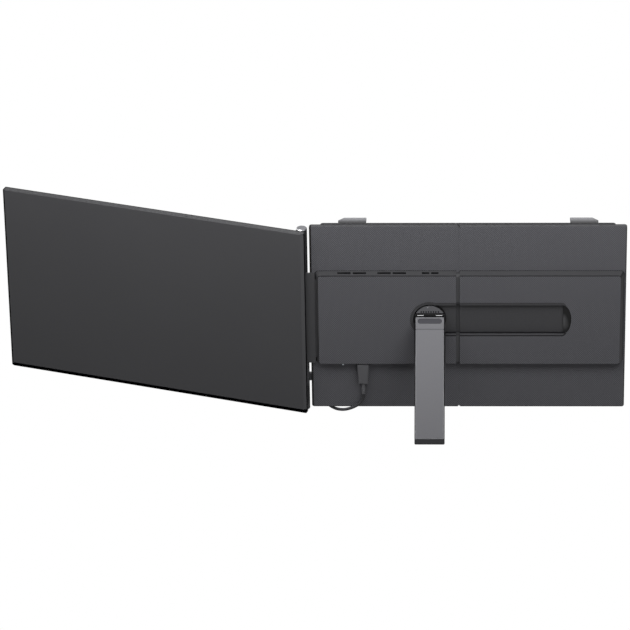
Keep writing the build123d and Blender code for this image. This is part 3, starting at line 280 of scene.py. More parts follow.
def soften(name, radius_mm):
    """A merged copy of a CAD node with its edges rounded, which stands for the node."""
    mesh = frame["nodes"][name].data.copy()
    mesh.materials.clear()
    work = bmesh.new()
    work.from_mesh(mesh)
    bmesh.ops.remove_doubles(work, verts=work.verts, dist=merge_distance)
    bmesh.ops.dissolve_limit(work, angle_limit=flat_angle, verts=work.verts, edges=work.edges)
    for face in work.faces:
        face.smooth = True
    work.to_mesh(mesh)
    work.free()
    piece = new_object(f"{name}_rounded", mesh)
    bevel = piece.modifiers.new("rounded edges", "BEVEL")
    bevel.width = radius_mm * mm
    bevel.segments = 2
    bevel.limit_method = "ANGLE"
    bevel.angle_limit = sharp_angle
    weighted = piece.modifiers.new("flat faces stay flat", "WEIGHTED_NORMAL")
    weighted.keep_sharp = True
    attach(piece, body_of_node[name])
    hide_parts(name)
    softened[name] = piece
    return piece


edge_radii = {
    "left_front_frame": 0.3, "right_front_frame": 0.3, "left_housing_cover": 0.4, "right_housing_cover": 0.4,
    "left_hook": 0.7, "right_hook": 0.7, "stand_hub": 0.15, "leg_core": 0.2, "leg_foot": 0.3,
    "hinge_arm": 0.3, "upper_barrel": 0.3, "lower_barrel": 0.3, "panel_rear_cover": 0.4,
    "panel_bezel": 0.15, "jumper_plug": 0.3, "power_button": 0.2, "menu_button": 0.2,
}
for name, radius_mm in edge_radii.items():
    soften(name, radius_mm)
print("rounded copies", len(softened))

# %% [markdown]
# ## Small pieces in mesh code
#
# The solids leave out what is too small to build into them. Such a piece could be drawn point by point.
# Instead each starts from a simple shape at the origin, is shaped there by operators, and is then moved
# to its place in the mesh, so that its object stays at the origin.

# %% Finishing a piece
added = {}


def finish_piece(work, name, body, place):
    """Turns a bmesh into a piece that lies at a place, a matrix, and rides on a body."""
    bmesh.ops.remove_doubles(work, verts=work.verts, dist=merge_distance)
    bmesh.ops.recalc_face_normals(work, faces=work.faces)
    bmesh.ops.transform(work, matrix=place, verts=work.verts)
    mesh = bpy.data.meshes.new(name)
    work.to_mesh(mesh)
    work.free()
    piece = new_object(name, mesh)
    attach(piece, body)
    added[name] = piece
    return piece


def vertices_in(geometry):
    """The vertices among the faces, edges and vertices that an operator returns."""
    return [item for item in geometry if isinstance(item, bmesh.types.BMVert)]


def bevel_edges(work, edges, radius_mm):
    """Rounds edges of a bmesh; bmesh's own defaults differ from the editor's, so all are given."""
    bmesh.ops.bevel(
        work, geom=edges, offset=radius_mm * mm, offset_type="OFFSET", affect="EDGES", segments=3,
        profile=0.5, material=-1, clamp_overlap=True,
    )


print("ready to make small pieces")

# %% [markdown]
# ## The inlay near the top of the leg
#
# A soft oblong pad lies in a slot of the leg's metal cover, a little below its face. A disc stretched
# into shape would not have round ends, so the two halves of a round disc are moved apart.

# %% Inlay
inlay_width, inlay_height, inlay_gap = 24.6, 5.4, 0.2
inlay_down, cover_face, inlay_sunk, inlay_thick = 7.1, 1.45, 0.3, 0.45
inlay_edge = 0.15
circle_points = 48


def leg_place(down_mm, out_mm):
    """A matrix for something on the leg: down along it and out from its axis; Z points outwards."""
    origin = leg_axis + leg_down * down_mm * mm + leg_out * out_mm * mm
    return Matrix.Translation(origin) @ Matrix(((1, 0, 0), -leg_down, leg_out)).transposed().to_4x4()


work = bmesh.new()
inlay_radius = (inlay_height / 2 - inlay_gap) * mm
bmesh.ops.create_circle(work, cap_ends=True, segments=circle_points, radius=inlay_radius)
# Half a step of turn, so that no point lies on the line where the disc is cut.
bmesh.ops.rotate(work, verts=work.verts, matrix=Matrix.Rotation(pi / circle_points, 3, "Z"))
apart = (inlay_width - inlay_height) / 2 * mm
for side in (-1, 1):
    half = [v for v in work.verts if v.co.x * side > 0]
    bmesh.ops.translate(work, verts=half, vec=(side * apart, 0, 0))
raised = bmesh.ops.extrude_face_region(work, geom=work.faces[:])
top = vertices_in(raised["geom"])
bmesh.ops.translate(work, verts=top, vec=(0, 0, inlay_thick * mm))
rim = [edge for edge in work.edges if all(v in top for v in edge.verts)]
bevel_edges(work, rim, inlay_edge)
inlay_out = cover_face - inlay_sunk - inlay_thick
inlay = finish_piece(work, "leg_inlay", "stand_leg", leg_place(inlay_down, inlay_out))
print("inlay faces", len(inlay.data.polygons))

# %% [markdown]
# ## Grip ribs on the hub
#
# A row of fine ribs runs along the lower edge of the hub's half moon, where a fingertip turns it. They
# could be a relief in the finish, but only real bars cast a shadow. So one small bar with rounded edges
# is made, and copies of it stand side by side.

# %% Hub ribs
rib_count, rib_pitch, rib_width, rib_height, rib_proud = 8, 2.5, 1.1, 1.7, 0.3
rib_edge, rib_rise = 0.2, 8.7
hub_sunk = 0.4 * mm

work = bmesh.new()
bmesh.ops.create_cube(work, size=1)
bmesh.ops.scale(work, vec=(rib_width * mm, 2 * rib_proud * mm, rib_height * mm), verts=work.verts)
bevel_edges(work, work.edges[:], rib_edge)
first = work.verts[:] + work.edges[:] + work.faces[:]
bmesh.ops.translate(work, verts=work.verts, vec=(-rib_pitch * (rib_count - 1) / 2 * mm, 0, 0))
for number in range(1, rib_count):
    copied = bmesh.ops.duplicate(work, geom=first)
    bmesh.ops.translate(work, verts=vertices_in(copied["geom"]), vec=(number * rib_pitch * mm, 0, 0))
hub_face_middle = Vector((hub_middle.x, housing_face + hub_sunk, hub_middle.z))
ribs_place = Matrix.Translation(hub_face_middle + Vector((0, 0, rib_rise * mm)))
finish_piece(work, "hub_ribs", "stand_hub_body", ribs_place)
print("ribs", rib_count)

# %% [markdown]
# ## The hub's pin
#
# The domed head of a steel pin shows near the top of the hub. A cylinder would have a flat top, so the
# head is a small ball, pressed flatter towards the hub's face.

# %% Hub pin
pin_radius, pin_flattened, pin_place = 0.55, 0.6, Vector((-2.0, 0, 13.7))

work = bmesh.new()
bmesh.ops.create_uvsphere(work, u_segments=20, v_segments=10, radius=pin_radius * mm)
bmesh.ops.scale(work, vec=(1, pin_flattened, 1), verts=work.verts)
pin_matrix = Matrix.Translation(hub_face_middle + pin_place * mm)
finish_piece(work, "hub_pin", "stand_hub_body", pin_matrix)
print("pin", pin_radius, "mm")

# %% [markdown]
# ## The strain relief
#
# The sleeve below the plug is ringed with grooves, so that it bends evenly instead of kinking at one
# place. It could be a cone with rings cut out of it. Turning it like a vase is simpler: half of its
# outline is a few points, and a full spin sweeps them round.

# %% Strain relief
relief_low, relief_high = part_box("jumper_relief")
relief_middle = (relief_low + relief_high) / 2
relief_half = (relief_high.z - relief_low.z) / 2
relief_end_radius, relief_top_radius = 1.85, 2.1
groove_count, groove_depth, groove_slope = 5, 0.3, 0.02


def relief_radius(share):
    """The sleeve's radius, a share of the way up it."""
    return (relief_end_radius + (relief_top_radius - relief_end_radius) * share) * mm


outline = [(0, 0), (relief_radius(0), 0)]
for number in range(groove_count):
    low = (number + 0.75) / (groove_count + 0.5)
    high = (number + 1.1) / (groove_count + 0.5)
    sunk = groove_depth * mm
    outline += [
        (relief_radius(low), low),
        (relief_radius(low) - sunk, low + groove_slope),
        (relief_radius(high) - sunk, high - groove_slope),
        (relief_radius(high), high),
    ]
outline += [(relief_radius(1), 1), (0, 1)]

work = bmesh.new()
points = [work.verts.new((radius, 0, (2 * share - 1) * relief_half)) for radius, share in outline]
lines = [work.edges.new(pair) for pair in zip(points, points[1:])]
bmesh.ops.spin(
    work, geom=points + lines, cent=(0, 0, 0), axis=(0, 0, 1), angle=tau, steps=32, use_merge=True
)
relief = finish_piece(work, "strain_relief", "base_left", Matrix.Translation(relief_middle))
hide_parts("jumper_relief")
print("relief", round(2 * relief_half / mm, 1), "mm long,", groove_count, "grooves")

# %% [markdown]
# ## The finger scoop's ramp
#
# Beyond the stowed leg's tip the recess widens into a scoop for a fingertip. The solid has it as a flat
# step; the real one rises in a hollow curve, so that the nail slides under the leg. It could be cut into
# the solid; here it is a grid whose points are placed by two shares, one out from the recess's end and
# one across it, because a formula then gives the curve. The grid is closed underneath.

# %% Scoop ramp
recess_end, scoop_length, scoop_depth, scoop_half = 176.7 * mm, 8.0 * mm, 2.4 * mm, 16.2 * mm
scoop_gap = 0.05 * mm
ramp_lift, ramp_thickness = 0.02 * mm, 0.1 * mm
ramp_floor = housing_face + scoop_depth
# The ramp stops just short of its rim's tips, and of the upright end of its curve.
tip_share, rise_share = 0.985, 0.97


def ramp_place(out, across):
    """A point of the ramp; out runs from 0 at the recess's end to 1 at the rim, across from -1 to 1."""
    share = tip_share * sin(across * tau / 4)
    reach = out * (scoop_length - scoop_gap) * (1 - share**2) ** 0.5
    rise = 1 - (1 - (rise_share * out) ** 2) ** 0.5
    return Vector((recess_end + reach, ramp_floor - rise * scoop_depth, hub_middle.z + share * scoop_half))


work = bmesh.new()
bmesh.ops.create_grid(work, x_segments=12, y_segments=32, size=0.5)
for point in work.verts:
    point.co = ramp_place(point.co.x + 0.5, 2 * point.co.y)
    point.co.y -= ramp_lift
under = bmesh.ops.extrude_face_region(work, geom=work.faces[:])
for point in vertices_in(under["geom"]):
    point.co.y = ramp_floor + ramp_thickness
for face in work.faces:
    face.smooth = True
finish_piece(work, "scoop_ramp", "base_right", Matrix())
print("ramp", round((ramp_place(1, 0).y - ramp_floor) / -mm, 2), "mm high")

# %% [markdown]
# ## The jumper lead
#
# A short lead runs from the plug to the hinge. It could be a chain of straight runs with rounded corners,
# but a real lead bends everywhere a little. So it is one NURBS spline, whose control points pull the line
# towards them without corners. The order and the end points are set after the points are added, because a
# spline with too few points falls back to straight runs.

# %% A curve for the lead
lead_points = [
    (-27.0, -10.9, -87.0),
    (-27.0, -10.9, -93.4),
    (-31.0, -10.6, -99.6),
    (-39.2, -9.0, -105.4),
    (-48.2, -6.2, -109.24),
    (-56.8, -3.4, -109.14),
    (-64.0, -1.9, -104.8),
    (-70.4, -1.9, -98.8),
    (-74.8, -1.95, -90.5),
    (-74.8, -1.95, -79.0),
]
lead_radius = 1.6
lead_curve = bpy.data.curves.new("lead", "CURVE")
lead_curve.dimensions = "3D"
lead_curve.resolution_u = 12
lead_curve.bevel_depth = 1
lead_curve.bevel_resolution = 5
lead_curve.use_fill_caps = True
lead_spline = lead_curve.splines.new("NURBS")
lead_spline.points.add(len(lead_points) - 1)
for point, place in zip(lead_spline.points, lead_points):
    point.co = (*(Vector(place) * mm), 1)
    point.radius = lead_radius * mm
lead_spline.order_u = 3
lead_spline.use_endpoint_u = True
lead = new_object("lead", lead_curve)
print("lead length", round(lead_spline.calc_length() / mm, 1), "mm")

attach(lead, "base_left")
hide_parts("jumper_lead")

# %% [markdown]
# ## Moulded plastic with a woven grain
#
# The plate's and the housing's flat faces are ABS whose mould was etched with a fine weave that runs both
# ways at 45 degrees; their walls, the recess and a thin strip along each edge are plain and darker.
# Separate pieces would need cuts in the shape. Instead the finish asks, for each point, whether it lies
# on a flat face and inside the strip, and draws the weave only there. Darker marks go over it by masks
# that each piece brings along; most of them are painted shade, in creases, slots and on walls that look
# away from the light, and one is a painted highlight on a lip. The threads are drawn coarser than the
# real ones, because finer ones would not show.

# %% The weave
thread_spacing, fine_grain = 1.6 * mm, 0.5
flat_cosine = 0.97


def make_threads(local, angle):
    """Bands that run across a face at an angle in degrees."""
    turn = (0, radians(angle), 0)
    turned = add(local, "ShaderNodeMapping", Vector=local["Object"], Rotation=turn).outputs[0]
    # At a scale of 1 the bands of a wave texture lie tau / 20 apart.
    scale = tau / 20 / thread_spacing
    bands = {"wave_type": "BANDS", "bands_direction": "X"}
    uneven = {"Distortion": 0.4, "Detail": 1.0, "Detail_Scale": 3.0}
    return add(turned, "ShaderNodeTexWave", bands, Vector=turned, Scale=scale, **uneven).outputs["Fac"]


def make_woven_plastic(name, face_y, x_range, z_range, thread, gap, wall, strip_mm, marks):
    """Plastic with a weave on its face; marks pairs functions that make masks with the colours they show."""
    material, shader, local = new_material(name)
    place, facing = place_and_facing(local)
    face_slack, strip = 0.1 * mm, strip_mm * mm
    woven = all_of(
        below(facing[1], -flat_cosine),
        within(place[1], face_y - face_slack, face_y + face_slack),
        within(place[0], x_range[0] + strip, x_range[1] - strip),
        within(place[2], z_range[0] + strip, z_range[1] - strip),
    )
    threads = all_of(*[make_threads(local, angle) for angle in (45, -45)])
    grain = make_grain(local, fine_grain)
    wall_tint = paint_over(grain, *wall)
    weave_tint = paint_over(threads, gap, thread)
    tint = paint_over(woven, wall_tint, weave_tint)
    for make_mask, colour in marks:
        tint = paint_over(make_mask(place, facing), tint, colour)
    soft_grain = add(grain, "ShaderNodeMath", {"operation": "MULTIPLY"}, i0=grain, i1=0.2).outputs[0]
    height = add(grain, "ShaderNodeMix", {"data_type": "FLOAT"}, Factor=woven, i2=soft_grain, i3=threads)
    finish_plastic(shader, tint, height.outputs[0], depth_mm=0.1)
    return material


def dress(material, *names):
    """Puts a material on CAD nodes and on pieces, by name."""
    for name in names:
        piece = softened.get(name) or added.get(name) or frame["nodes"][name]
        piece.data.materials.clear()
        piece.data.materials.append(material)


print("threads", thread_spacing / mm, "mm apart")

# %% [markdown]
# ## The plate
#
# The plate is woven over nearly all of its back. Along its right edge runs a plain strip, and its left
# and lower walls look away from the light and are almost black, with a hair's breadth of the face beside
# them. The lamps alone could do that, but they light every piece, so the walls are painted.

# %% Plate
plate_strip_start = cover_end.x + 0.7 * mm
plate_end = cover_end.x + 1.9 * mm
left_wall_width, lower_wall_width = 2.0 * mm, 1.0 * mm


def plate_edges(place, facing):
    """A strip along the plate's right edge."""
    return above(place[0], plate_strip_start)


def plate_painted_shade(place, facing):
    """Painted shade on the plate's left and lower walls, with a hair's breadth of its face beside them."""
    left_wall = below(place[0], plate_low.x + left_wall_width)
    lower_wall = below(place[2], plate_low.z + lower_wall_width)
    return any_of(left_wall, lower_wall)


# Weave-etched ABS: matte threads, a little lighter than the gaps between them.
plate_weave = make_woven_plastic(
    "ABS_moulded_weave_plate",
    plate_face,
    (plate_low.x, plate_end),
    (plate_low.z, plate_high.z),
    thread="#6e6e72",
    gap="#4e4e52",
    wall=("#464648", "#505052"),
    strip_mm=0.3,
    marks=[(plate_edges, "#3a3a3c"), (plate_painted_shade, "#060607")],
)
dress(plate_weave, "left_back_plate", "right_back_plate")
print("weave on the plate from", round(plate_low.x, 4), "to", round(plate_end, 4))

# %% [markdown]
# ## The housing
#
# The housing has the same weave, sloping walls, and a flat border that is sunk round the recess for the
# leg. Its edges, its right wall, the foot of that border, the deep slots, the inner walls and the foot of
# the outer walls carry painted shade, and the lip below the recess carries painted light, because it looks
# up. The border's lower corner is a quarter of a circle, so one mask is a ring: it measures each point's
# distance from the middle of that circle.

# %% Housing
# The recess, a little wider than the hollow itself, and the border round it.
recess_half, border_half = 16.4 * mm, 19.4 * mm
border_face = housing_face + 0.4 * mm
border_width, border_round = 3.1 * mm, 5.0 * mm
turn_x, turn_z = recess_end + border_width - border_round, hub_middle.z - border_half + border_round
border_turn = Vector((turn_x, 0, turn_z))
lip_width, lip_over, lip_slack = 1.5 * mm, 0.3 * mm, 0.05 * mm
lip_low, lip_high = hub_middle.z - recess_half - lip_width, hub_middle.z - recess_half + lip_over
# Right of the hub's disc, and well clear of the housing's right edge.
beside_hub, before_edge = hub_middle.x + 15.9 * mm, cover_end.x - 10 * mm
right_edge, scoop_start = cover_end.x - 6 * mm, recess_end - 2 * mm
rim_depth, step_depth, wall_reach = 0.9 * mm, 0.2 * mm, 5.0 * mm
slot_depth, slot_reach, foot_height = 1.0 * mm, 4.0 * mm, 0.6 * mm
back_cosine, side_cosine = 0.9, 0.5


def distance_from(place, middle):
    """A point's distance from a middle, as seen from behind."""
    across = add(place, "ShaderNodeMath", {"operation": "SUBTRACT"}, i0=place[0], i1=middle.x).outputs[0]
    rise = add(place, "ShaderNodeMath", {"operation": "SUBTRACT"}, i0=place[2], i1=middle.z).outputs[0]
    offset = add(place, "ShaderNodeCombineXYZ", X=across, Z=rise).outputs[0]
    return add(place, "ShaderNodeVectorMath", {"operation": "LENGTH"}, i0=offset).outputs["Value"]


def cover_painted_shade_edges(place, facing):
    """Painted shade on the edges round the housing's face, its right wall, and the foot of the border below the
    recess.
    """
    near_rim = all_of(below(place[1], housing_face + rim_depth), above(facing[1], -flat_cosine))
    below_scoop = all_of(above(place[0], scoop_start), below(place[2], hub_middle.z - scoop_half / 2))
    beside_recess = any_of(
        above(place[2], hub_middle.z + border_half),
        below(place[2], hub_middle.z - border_half),
        above(place[0], right_edge),
        below_scoop,
    )
    right_wall = all_of(above(facing[0], side_cosine), above(place[0], right_edge))
    under_face = above(place[1], housing_face + step_depth)
    border_foot = all_of(
        within(place[2], hub_middle.z - border_half, lip_low),
        under_face,
        within(place[0], beside_hub, border_turn.x),
    )
    border_bend = all_of(
        within(distance_from(place, border_turn), border_round - lip_width, border_round),
        above(place[0], border_turn.x),
        below(place[2], border_turn.z),
        under_face,
    )
    return any_of(all_of(near_rim, beside_recess), right_wall, border_foot, border_bend)


def lip_painted_light(place, facing):
    """Painted light on the lip below the recess, which looks up into the light."""
    return all_of(
        within(place[2], lip_low, lip_high),
        within(place[1], border_face - lip_slack, border_face + lip_slack),
        within(place[0], beside_hub, before_edge),
    )


def cover_painted_shade_insides(place, facing):
    """Painted shade deep in the slots, on the inner walls of the recess, and at the foot of the outer walls."""
    in_slots = all_of(
        below(facing[1], -back_cosine),
        above(place[1], housing_face + slot_depth),
        above(place[2], cover_high.z - slot_reach),
    )
    recess_wall = all_of(
        above(facing[1], -side_cosine),
        within(place[2], hub_middle.z - recess_half, hub_middle.z + recess_half),
        within(place[0], beside_hub, before_edge),
        within(place[1], border_face + lip_slack, border_face + wall_reach),
    )
    foot = above(place[1], plate_face - foot_height)
    return any_of(in_slots, recess_wall, foot)


# How far the sloping walls take the face in, on each side.
drafts = {"left": 3.0 * mm, "right": 3.4 * mm, "top": 3.0 * mm, "bottom": 1.3 * mm}
# The same weave-etched ABS, with darker plain walls that set the housing off from the plate.
cover_weave = make_woven_plastic(
    "ABS_moulded_weave_housing",
    housing_face,
    (cover_low.x + drafts["left"], cover_end.x - drafts["right"]),
    (cover_low.z + drafts["bottom"], cover_high.z - drafts["top"]),
    thread="#6c6c70",
    gap="#4e4e52",
    wall=("#3a3a3c", "#434345"),
    strip_mm=0.5,
    marks=[(lip_painted_light, "#505053"), (cover_painted_shade_edges, "#1c1c1e"), (cover_painted_shade_insides, "#0e0e10")],
)
dress(cover_weave, "left_housing_cover", "right_housing_cover")
print("border turns at", [round(v, 4) for v in border_turn])

# %% [markdown]
# ## Plain plastics
#
# The frames, the arm and the barrel are moulded without the weave. Their moulds were spark-eroded, which
# leaves a fine random grain and a dull, even sheen. They differ only in numbers, so one function makes
# them all; a slow drift of the colour keeps a large face from looking flat.

# %% Spark-eroded plastic
slow_drift = 50


def make_grained_plastic(name, colour, roughness, grain_mm=fine_grain, depth_mm=0.02, level=0.2):
    """Plastic or rubber of one colour with a random grain."""
    material, shader, local = new_material(name)
    grain = make_grain(local, grain_mm)
    tint = mottled(make_grain(local, slow_drift), colour, 0.9)
    finish_plastic(shader, tint, grain, roughness, level, depth_mm)
    return material


# Spark-eroded ABS: even and dull, near black on the barrel and the bezel, grey on the frames and the arm.
frame_plastic = make_grained_plastic("ABS_spark_eroded_frame", "#464648", 0.6)
bezel_plastic = make_grained_plastic("ABS_spark_eroded_bezel", "#2c2c2e", 0.6)
arm_plastic = make_grained_plastic("ABS_spark_eroded_arm", "#48484a", 0.55)
barrel_plastic = make_grained_plastic("ABS_spark_eroded_barrel", "#222224", 0.5)
# Glass-filled nylon: black, with hardly any sheen, because its fibres roughen the surface.
core_plastic = make_grained_plastic("nylon_glass_filled_black", "#0a0a0c", 0.65, level=0.1)
dress(frame_plastic, "left_front_frame", "right_front_frame")
dress(bezel_plastic, "panel_bezel")
dress(arm_plastic, "hinge_arm")
dress(barrel_plastic, "upper_barrel", "lower_barrel")
dress(core_plastic, "leg_core", "rail_bushes", "power_button", "menu_button", "button_switches", "hub_ribs")
print("plain plastics ready")

# %% [markdown]
# ## The sleeve between the covers
#
# The covers slide on a smooth sleeve that shows as a band in the groove between them. It is a little
# lighter there, and darker on top and where it crosses the sunk border. It is one piece with two tones,
# so a mask tells them apart.

# %% Sleeve
darker_top_depth = 3 * mm

# Smooth ABS: a shade lighter than the covers' walls, so that the groove reads as a groove.
sleeve_plastic, shader, local = new_material("ABS_sleeve")
place, facing = place_and_facing(local)
in_recess = within(place[2], hub_middle.z - border_half, hub_middle.z + border_half)
on_top = above(place[2], cover_high.z - darker_top_depth)
grain = make_grain(local, fine_grain)
sleeve_darker_tone = paint_over(grain, "#373739", "#3f3f41")
tint = paint_over(any_of(in_recess, on_top), "#4c4c4e", sleeve_darker_tone)
finish_plastic(shader, tint, grain)
dress(sleeve_plastic, "slide_sleeve")
print("sleeve ready")

# %% [markdown]
# ## The display's back
#
# The display's back is the same plastic with a sloping edge all round. Where the slope looks up or
# towards the hinge's side, it carries a painted highlight. The slope below and the far end, which run into
# the black bezel, and the upright wall on the hinge's side carry painted shade, near black, with no sheen.
# World directions would be simpler, but the display stands at an angle, so the slopes are told apart in
# the display's own directions.

# %% Display
panel_turn = radians(-18)
panel_right = Vector((cos(panel_turn), sin(panel_turn), 0))
panel_far = min(v.co.dot(panel_right) for v in frame["nodes"]["panel_rear_cover"].data.vertices)
panel_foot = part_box("panel_rear_cover")[0].z
foot_slope, far_slope_width = 5.7 * mm, 2.2 * mm
sloping, upright = 0.3, 0.8

# Spark-eroded ABS: an even, dull grey, with a painted highlight on some slopes, and painted shade
# with no sheen at all where it is black.
display_plastic, shader, local = new_material("ABS_spark_eroded_display")
place, facing = place_and_facing(local)
facing_right = towards(local["Normal"], panel_right)
from_far = towards(local["Object"], panel_right)
# Painted shade, near black: the slope below, the far end and the upright wall on the hinge's side.
painted_shade_below = any_of(below(facing[2], -sloping), below(place[2], panel_foot + foot_slope))
painted_shade_far = any_of(below(facing_right, -sloping), below(from_far, panel_far + far_slope_width))
# Painted highlight: the slopes that look up or towards the hinge's side.
painted_highlight_slopes = any_of(within(facing_right, sloping, upright), above(facing[2], sloping))
black = any_of(painted_shade_below, above(facing_right, upright))
tint = paint_over(make_grain(local, slow_drift), "#454547", "#49494b")
tint = paint_over(painted_highlight_slopes, tint, "#4d4d4f")
tint = paint_over(painted_shade_far, tint, "#141416")
tint = paint_over(black, tint, "#060608")
dull = any_of(black, painted_shade_far)
sheen = add(dull, "ShaderNodeMix", {"data_type": "FLOAT"}, Factor=dull, i2=0.2, i3=0.0).outputs[0]
finish_plastic(shader, tint, make_grain(local, fine_grain), level=sheen)
dress(display_plastic, "panel_rear_cover")
print("display's far end", round(panel_far, 4))

# %% [markdown]
# ## The finger scoop
#
# Painted shade makes the scoop darker towards its rim, most of all at the top, where it looks down. One
# even colour would hide the curve. The rim is half an ellipse, so the finish measures the distance from
# its middle in shares of the ellipse's two reaches, and darkens with it and with the height.

# %% Scoop
scoop_shares = (1 / scoop_length, 0, 1 / scoop_half)
to_middle = (-recess_end / scoop_length, 0, -hub_middle.z / scoop_half)
rim_weight, height_weight = 1.05, 0.95

# Smooth ABS in a hollow: lighter in its middle, with painted shade towards its rim.
scoop_plastic, shader, local = new_material("ABS_scoop")
place, facing = place_and_facing(local)
scale_and_shift = {"operation": "MULTIPLY_ADD"}
from_middle = add(
    shader, "ShaderNodeVectorMath", scale_and_shift, i0=local["Object"], i1=scoop_shares, i2=to_middle
).outputs[0]
reach = add(shader, "ShaderNodeVectorMath", {"operation": "LENGTH"}, i0=from_middle).outputs["Value"]
to_rim = add(shader, "ShaderNodeMapRange", Value=reach, From_Max=0.95, To_Max=rim_weight)
heights = {"From_Min": hub_middle.z - scoop_half / 2, "From_Max": hub_middle.z + scoop_half}
to_top = add(shader, "ShaderNodeMapRange", Value=place[2], **heights, To_Max=height_weight)
clamped_sum = {"operation": "ADD", "use_clamp": True}
shade = add(shader, "ShaderNodeMath", clamped_sum, i0=to_rim.outputs[0], i1=to_top.outputs[0])
tint = paint_over(shade.outputs[0], "#626264", "#020203")
finish_plastic(shader, tint, make_grain(local, fine_grain))
dress(scoop_plastic, "scoop_ramp")
print("scoop ready")

# %% [markdown]
# ## The hub's two tones
#
# The half moon is a lighter cap moulded onto a black base. Both belong to one solid, so the finish tells
# them apart by place: what lies above the half moon's straight edge, and near its face, is the cap.

# %% Hub
cap_rise, cap_depth = 7.0 * mm, 0.7 * mm

# Smooth ABS in two shots: a grey cap that catches the light over a base that is lost in the dark.
hub_plastic, shader, local = new_material("ABS_hub_two_tone")
place, facing = place_and_facing(local)
cap = all_of(above(place[2], hub_middle.z + cap_rise), below(place[1], housing_face + cap_depth))
grain = make_grain(local, fine_grain)
light_tint = paint_over(grain, "#5e5e61", "#68686b")
finish_plastic(shader, paint_over(cap, "#040405", light_tint), grain, roughness=0.55)
dress(hub_plastic, "stand_hub")
print("hub ready")

# %% [markdown]
# ## Soft pieces and the plug
#
# Pads, the foot, the inlay and the strain relief are foams and rubbers. They are dull because their
# surface is open or slightly rough, and their grain is coarser than the plastics'. The plug's grip and
# the moulded end at the hinge are hard plastic with a similar grain. The function for plain plastics
# serves here too, because only the numbers differ.

# %% Rubbers
# Silicone foam: open cells that swallow the light, so the pads look deep black.
pad_foam = make_grained_plastic("silicone_foam_black", "#242426", 0.85, 1.2, depth_mm=0.1, level=0.15)
# Moulded TPU: dull, with a faint grain that grips.
foot_rubber = make_grained_plastic("TPU_black", "#222224", 0.7, 0.8, depth_mm=0.03)
inlay_rubber = make_grained_plastic("TPU_grey", "#48484d", 0.7, 0.6, depth_mm=0.03)
# Moulded TPE: grey and a little smoother, so that its grooves show.
relief_rubber = make_grained_plastic("TPE_relief_grey", "#5e5e61", 0.5, 0.8)
# Moulded polycarbonate: grey with a soft sheen.
plug_plastic = make_grained_plastic("PC_plug_grip", "#5c5c5f", 0.5, 0.7)
end_plastic = make_grained_plastic("PC_lead_end_grey", "#6e6e72", 0.45)
dress(pad_foam, "left_front_pad", "right_front_pad", "left_hook_liner", "right_hook_liner")
dress(foot_rubber, "leg_foot")
dress(inlay_rubber, "leg_inlay")
dress(relief_rubber, "strain_relief")
dress(plug_plastic, "jumper_plug")
dress(end_plastic, "jumper_end")
print("rubbers ready")

# %% [markdown]
# ## The lead's jacket
#
# The jacket is extruded black PVC. Its upper side carries painted light in a soft grey, while the
# underside stays black. So the finish follows the way that the surface faces, from below to above.

# %% Jacket
# Extruded PVC: smooth and black, with soft grey painted light along its upper side.
jacket_rubber, shader, local = new_material("PVC_jacket_black")
place, facing = place_and_facing(local)
painted_light_above = add(shader, "ShaderNodeMapRange", Value=facing[2], From_Min=-0.4, From_Max=1.0)
tint = paint_over(painted_light_above.outputs[0], "#09090a", "#505054")
finish_plastic(shader, tint, make_grain(local, 1.0), roughness=0.45, depth_mm=0.01)
lead_curve.materials.append(jacket_rubber)
print("jacket ready")

# %% [markdown]
# ## Plain metals
#
# Screws, pins and sockets are zinc-plated steel, and the slide rails are steel with a black oxide. A
# metal shows what is around it, so its look is mostly its roughness; the base colour only tints that.
# That is why both come from one function with a roughness and a colour.

# %% Plain metal
metal_grain = 0.4


def make_metal(name, colour, roughness):
    """Metal of one colour with a fine grain."""
    material, shader, local = new_material(name)
    grain = make_grain(local, metal_grain)
    set_inputs(shader, Base_Color=mottled(grain, colour, 0.85), Roughness=roughness, Metallic=1.0)
    set_relief(shader, grain, 0.008)
    return material


# Zinc-plated steel: bright, with soft reflections.
plain_steel = make_metal("steel_zinc_plated", "#a4a4a6", 0.35)
dress(plain_steel, "left_frame_screws", "right_frame_screws", "arm_bolts", "hinge_pin", "hinge_screws")
dress(plain_steel, "hub_retainer", "hub_pin", "leg_pin", "lower_barrel_cap")
dress(plain_steel, "usb_socket_left", "usb_socket_right", "hdmi_socket", "jumper_plug_shell")
# Black oxide: the same soft reflections, almost without light.
black_steel = make_metal("steel_black_oxide", "#161618", 0.4)
dress(black_steel, "slide_rails")
print("plain metals ready")

# %% [markdown]
# ## Metal with painted highlights
#
# The leg's cover is aluminium, bead-blasted and anodised grey, whose edges were cut afterwards and are
# smoother; their brightness is a painted highlight, and so is the bright side of its two knuckles and of
# the cap on the barrel. The bright parts could be pieces of their own, but they are only a finish, so the
# graph finds them by the angle between the surface and an axis. The leg's face also carries painted shade
# that darkens it towards its foot, with a fine dark line across it.

# %% Metal with painted highlights
highlight_roughness = 0.25


def make_highlit_metal(name, colour, highlight_colour, roughness, axis, highlight_range, metallic=1.0, extra_marks=None):
    """Metal with a painted highlight, brighter and smoother, where the angle to an axis has its cosine in a range.
    """
    material, shader, local = new_material(name)
    highlight_mask = within(towards(local["Normal"], axis), *highlight_range)
    grain = make_grain(local, metal_grain)
    tint = paint_over(highlight_mask, mottled(grain, colour, 0.88), highlight_colour)
    if extra_marks:
        tint = extra_marks(local, tint)
    rough = add(highlight_mask, "ShaderNodeMix", {"data_type": "FLOAT"}, Factor=highlight_mask, i2=roughness, i3=highlight_roughness)
    set_inputs(shader, Base_Color=tint, Roughness=rough.outputs[0], Metallic=metallic)
    set_relief(shader, grain, 0.01)
    return material


line_down, line_wide = 15.8 * mm, 0.9 * mm
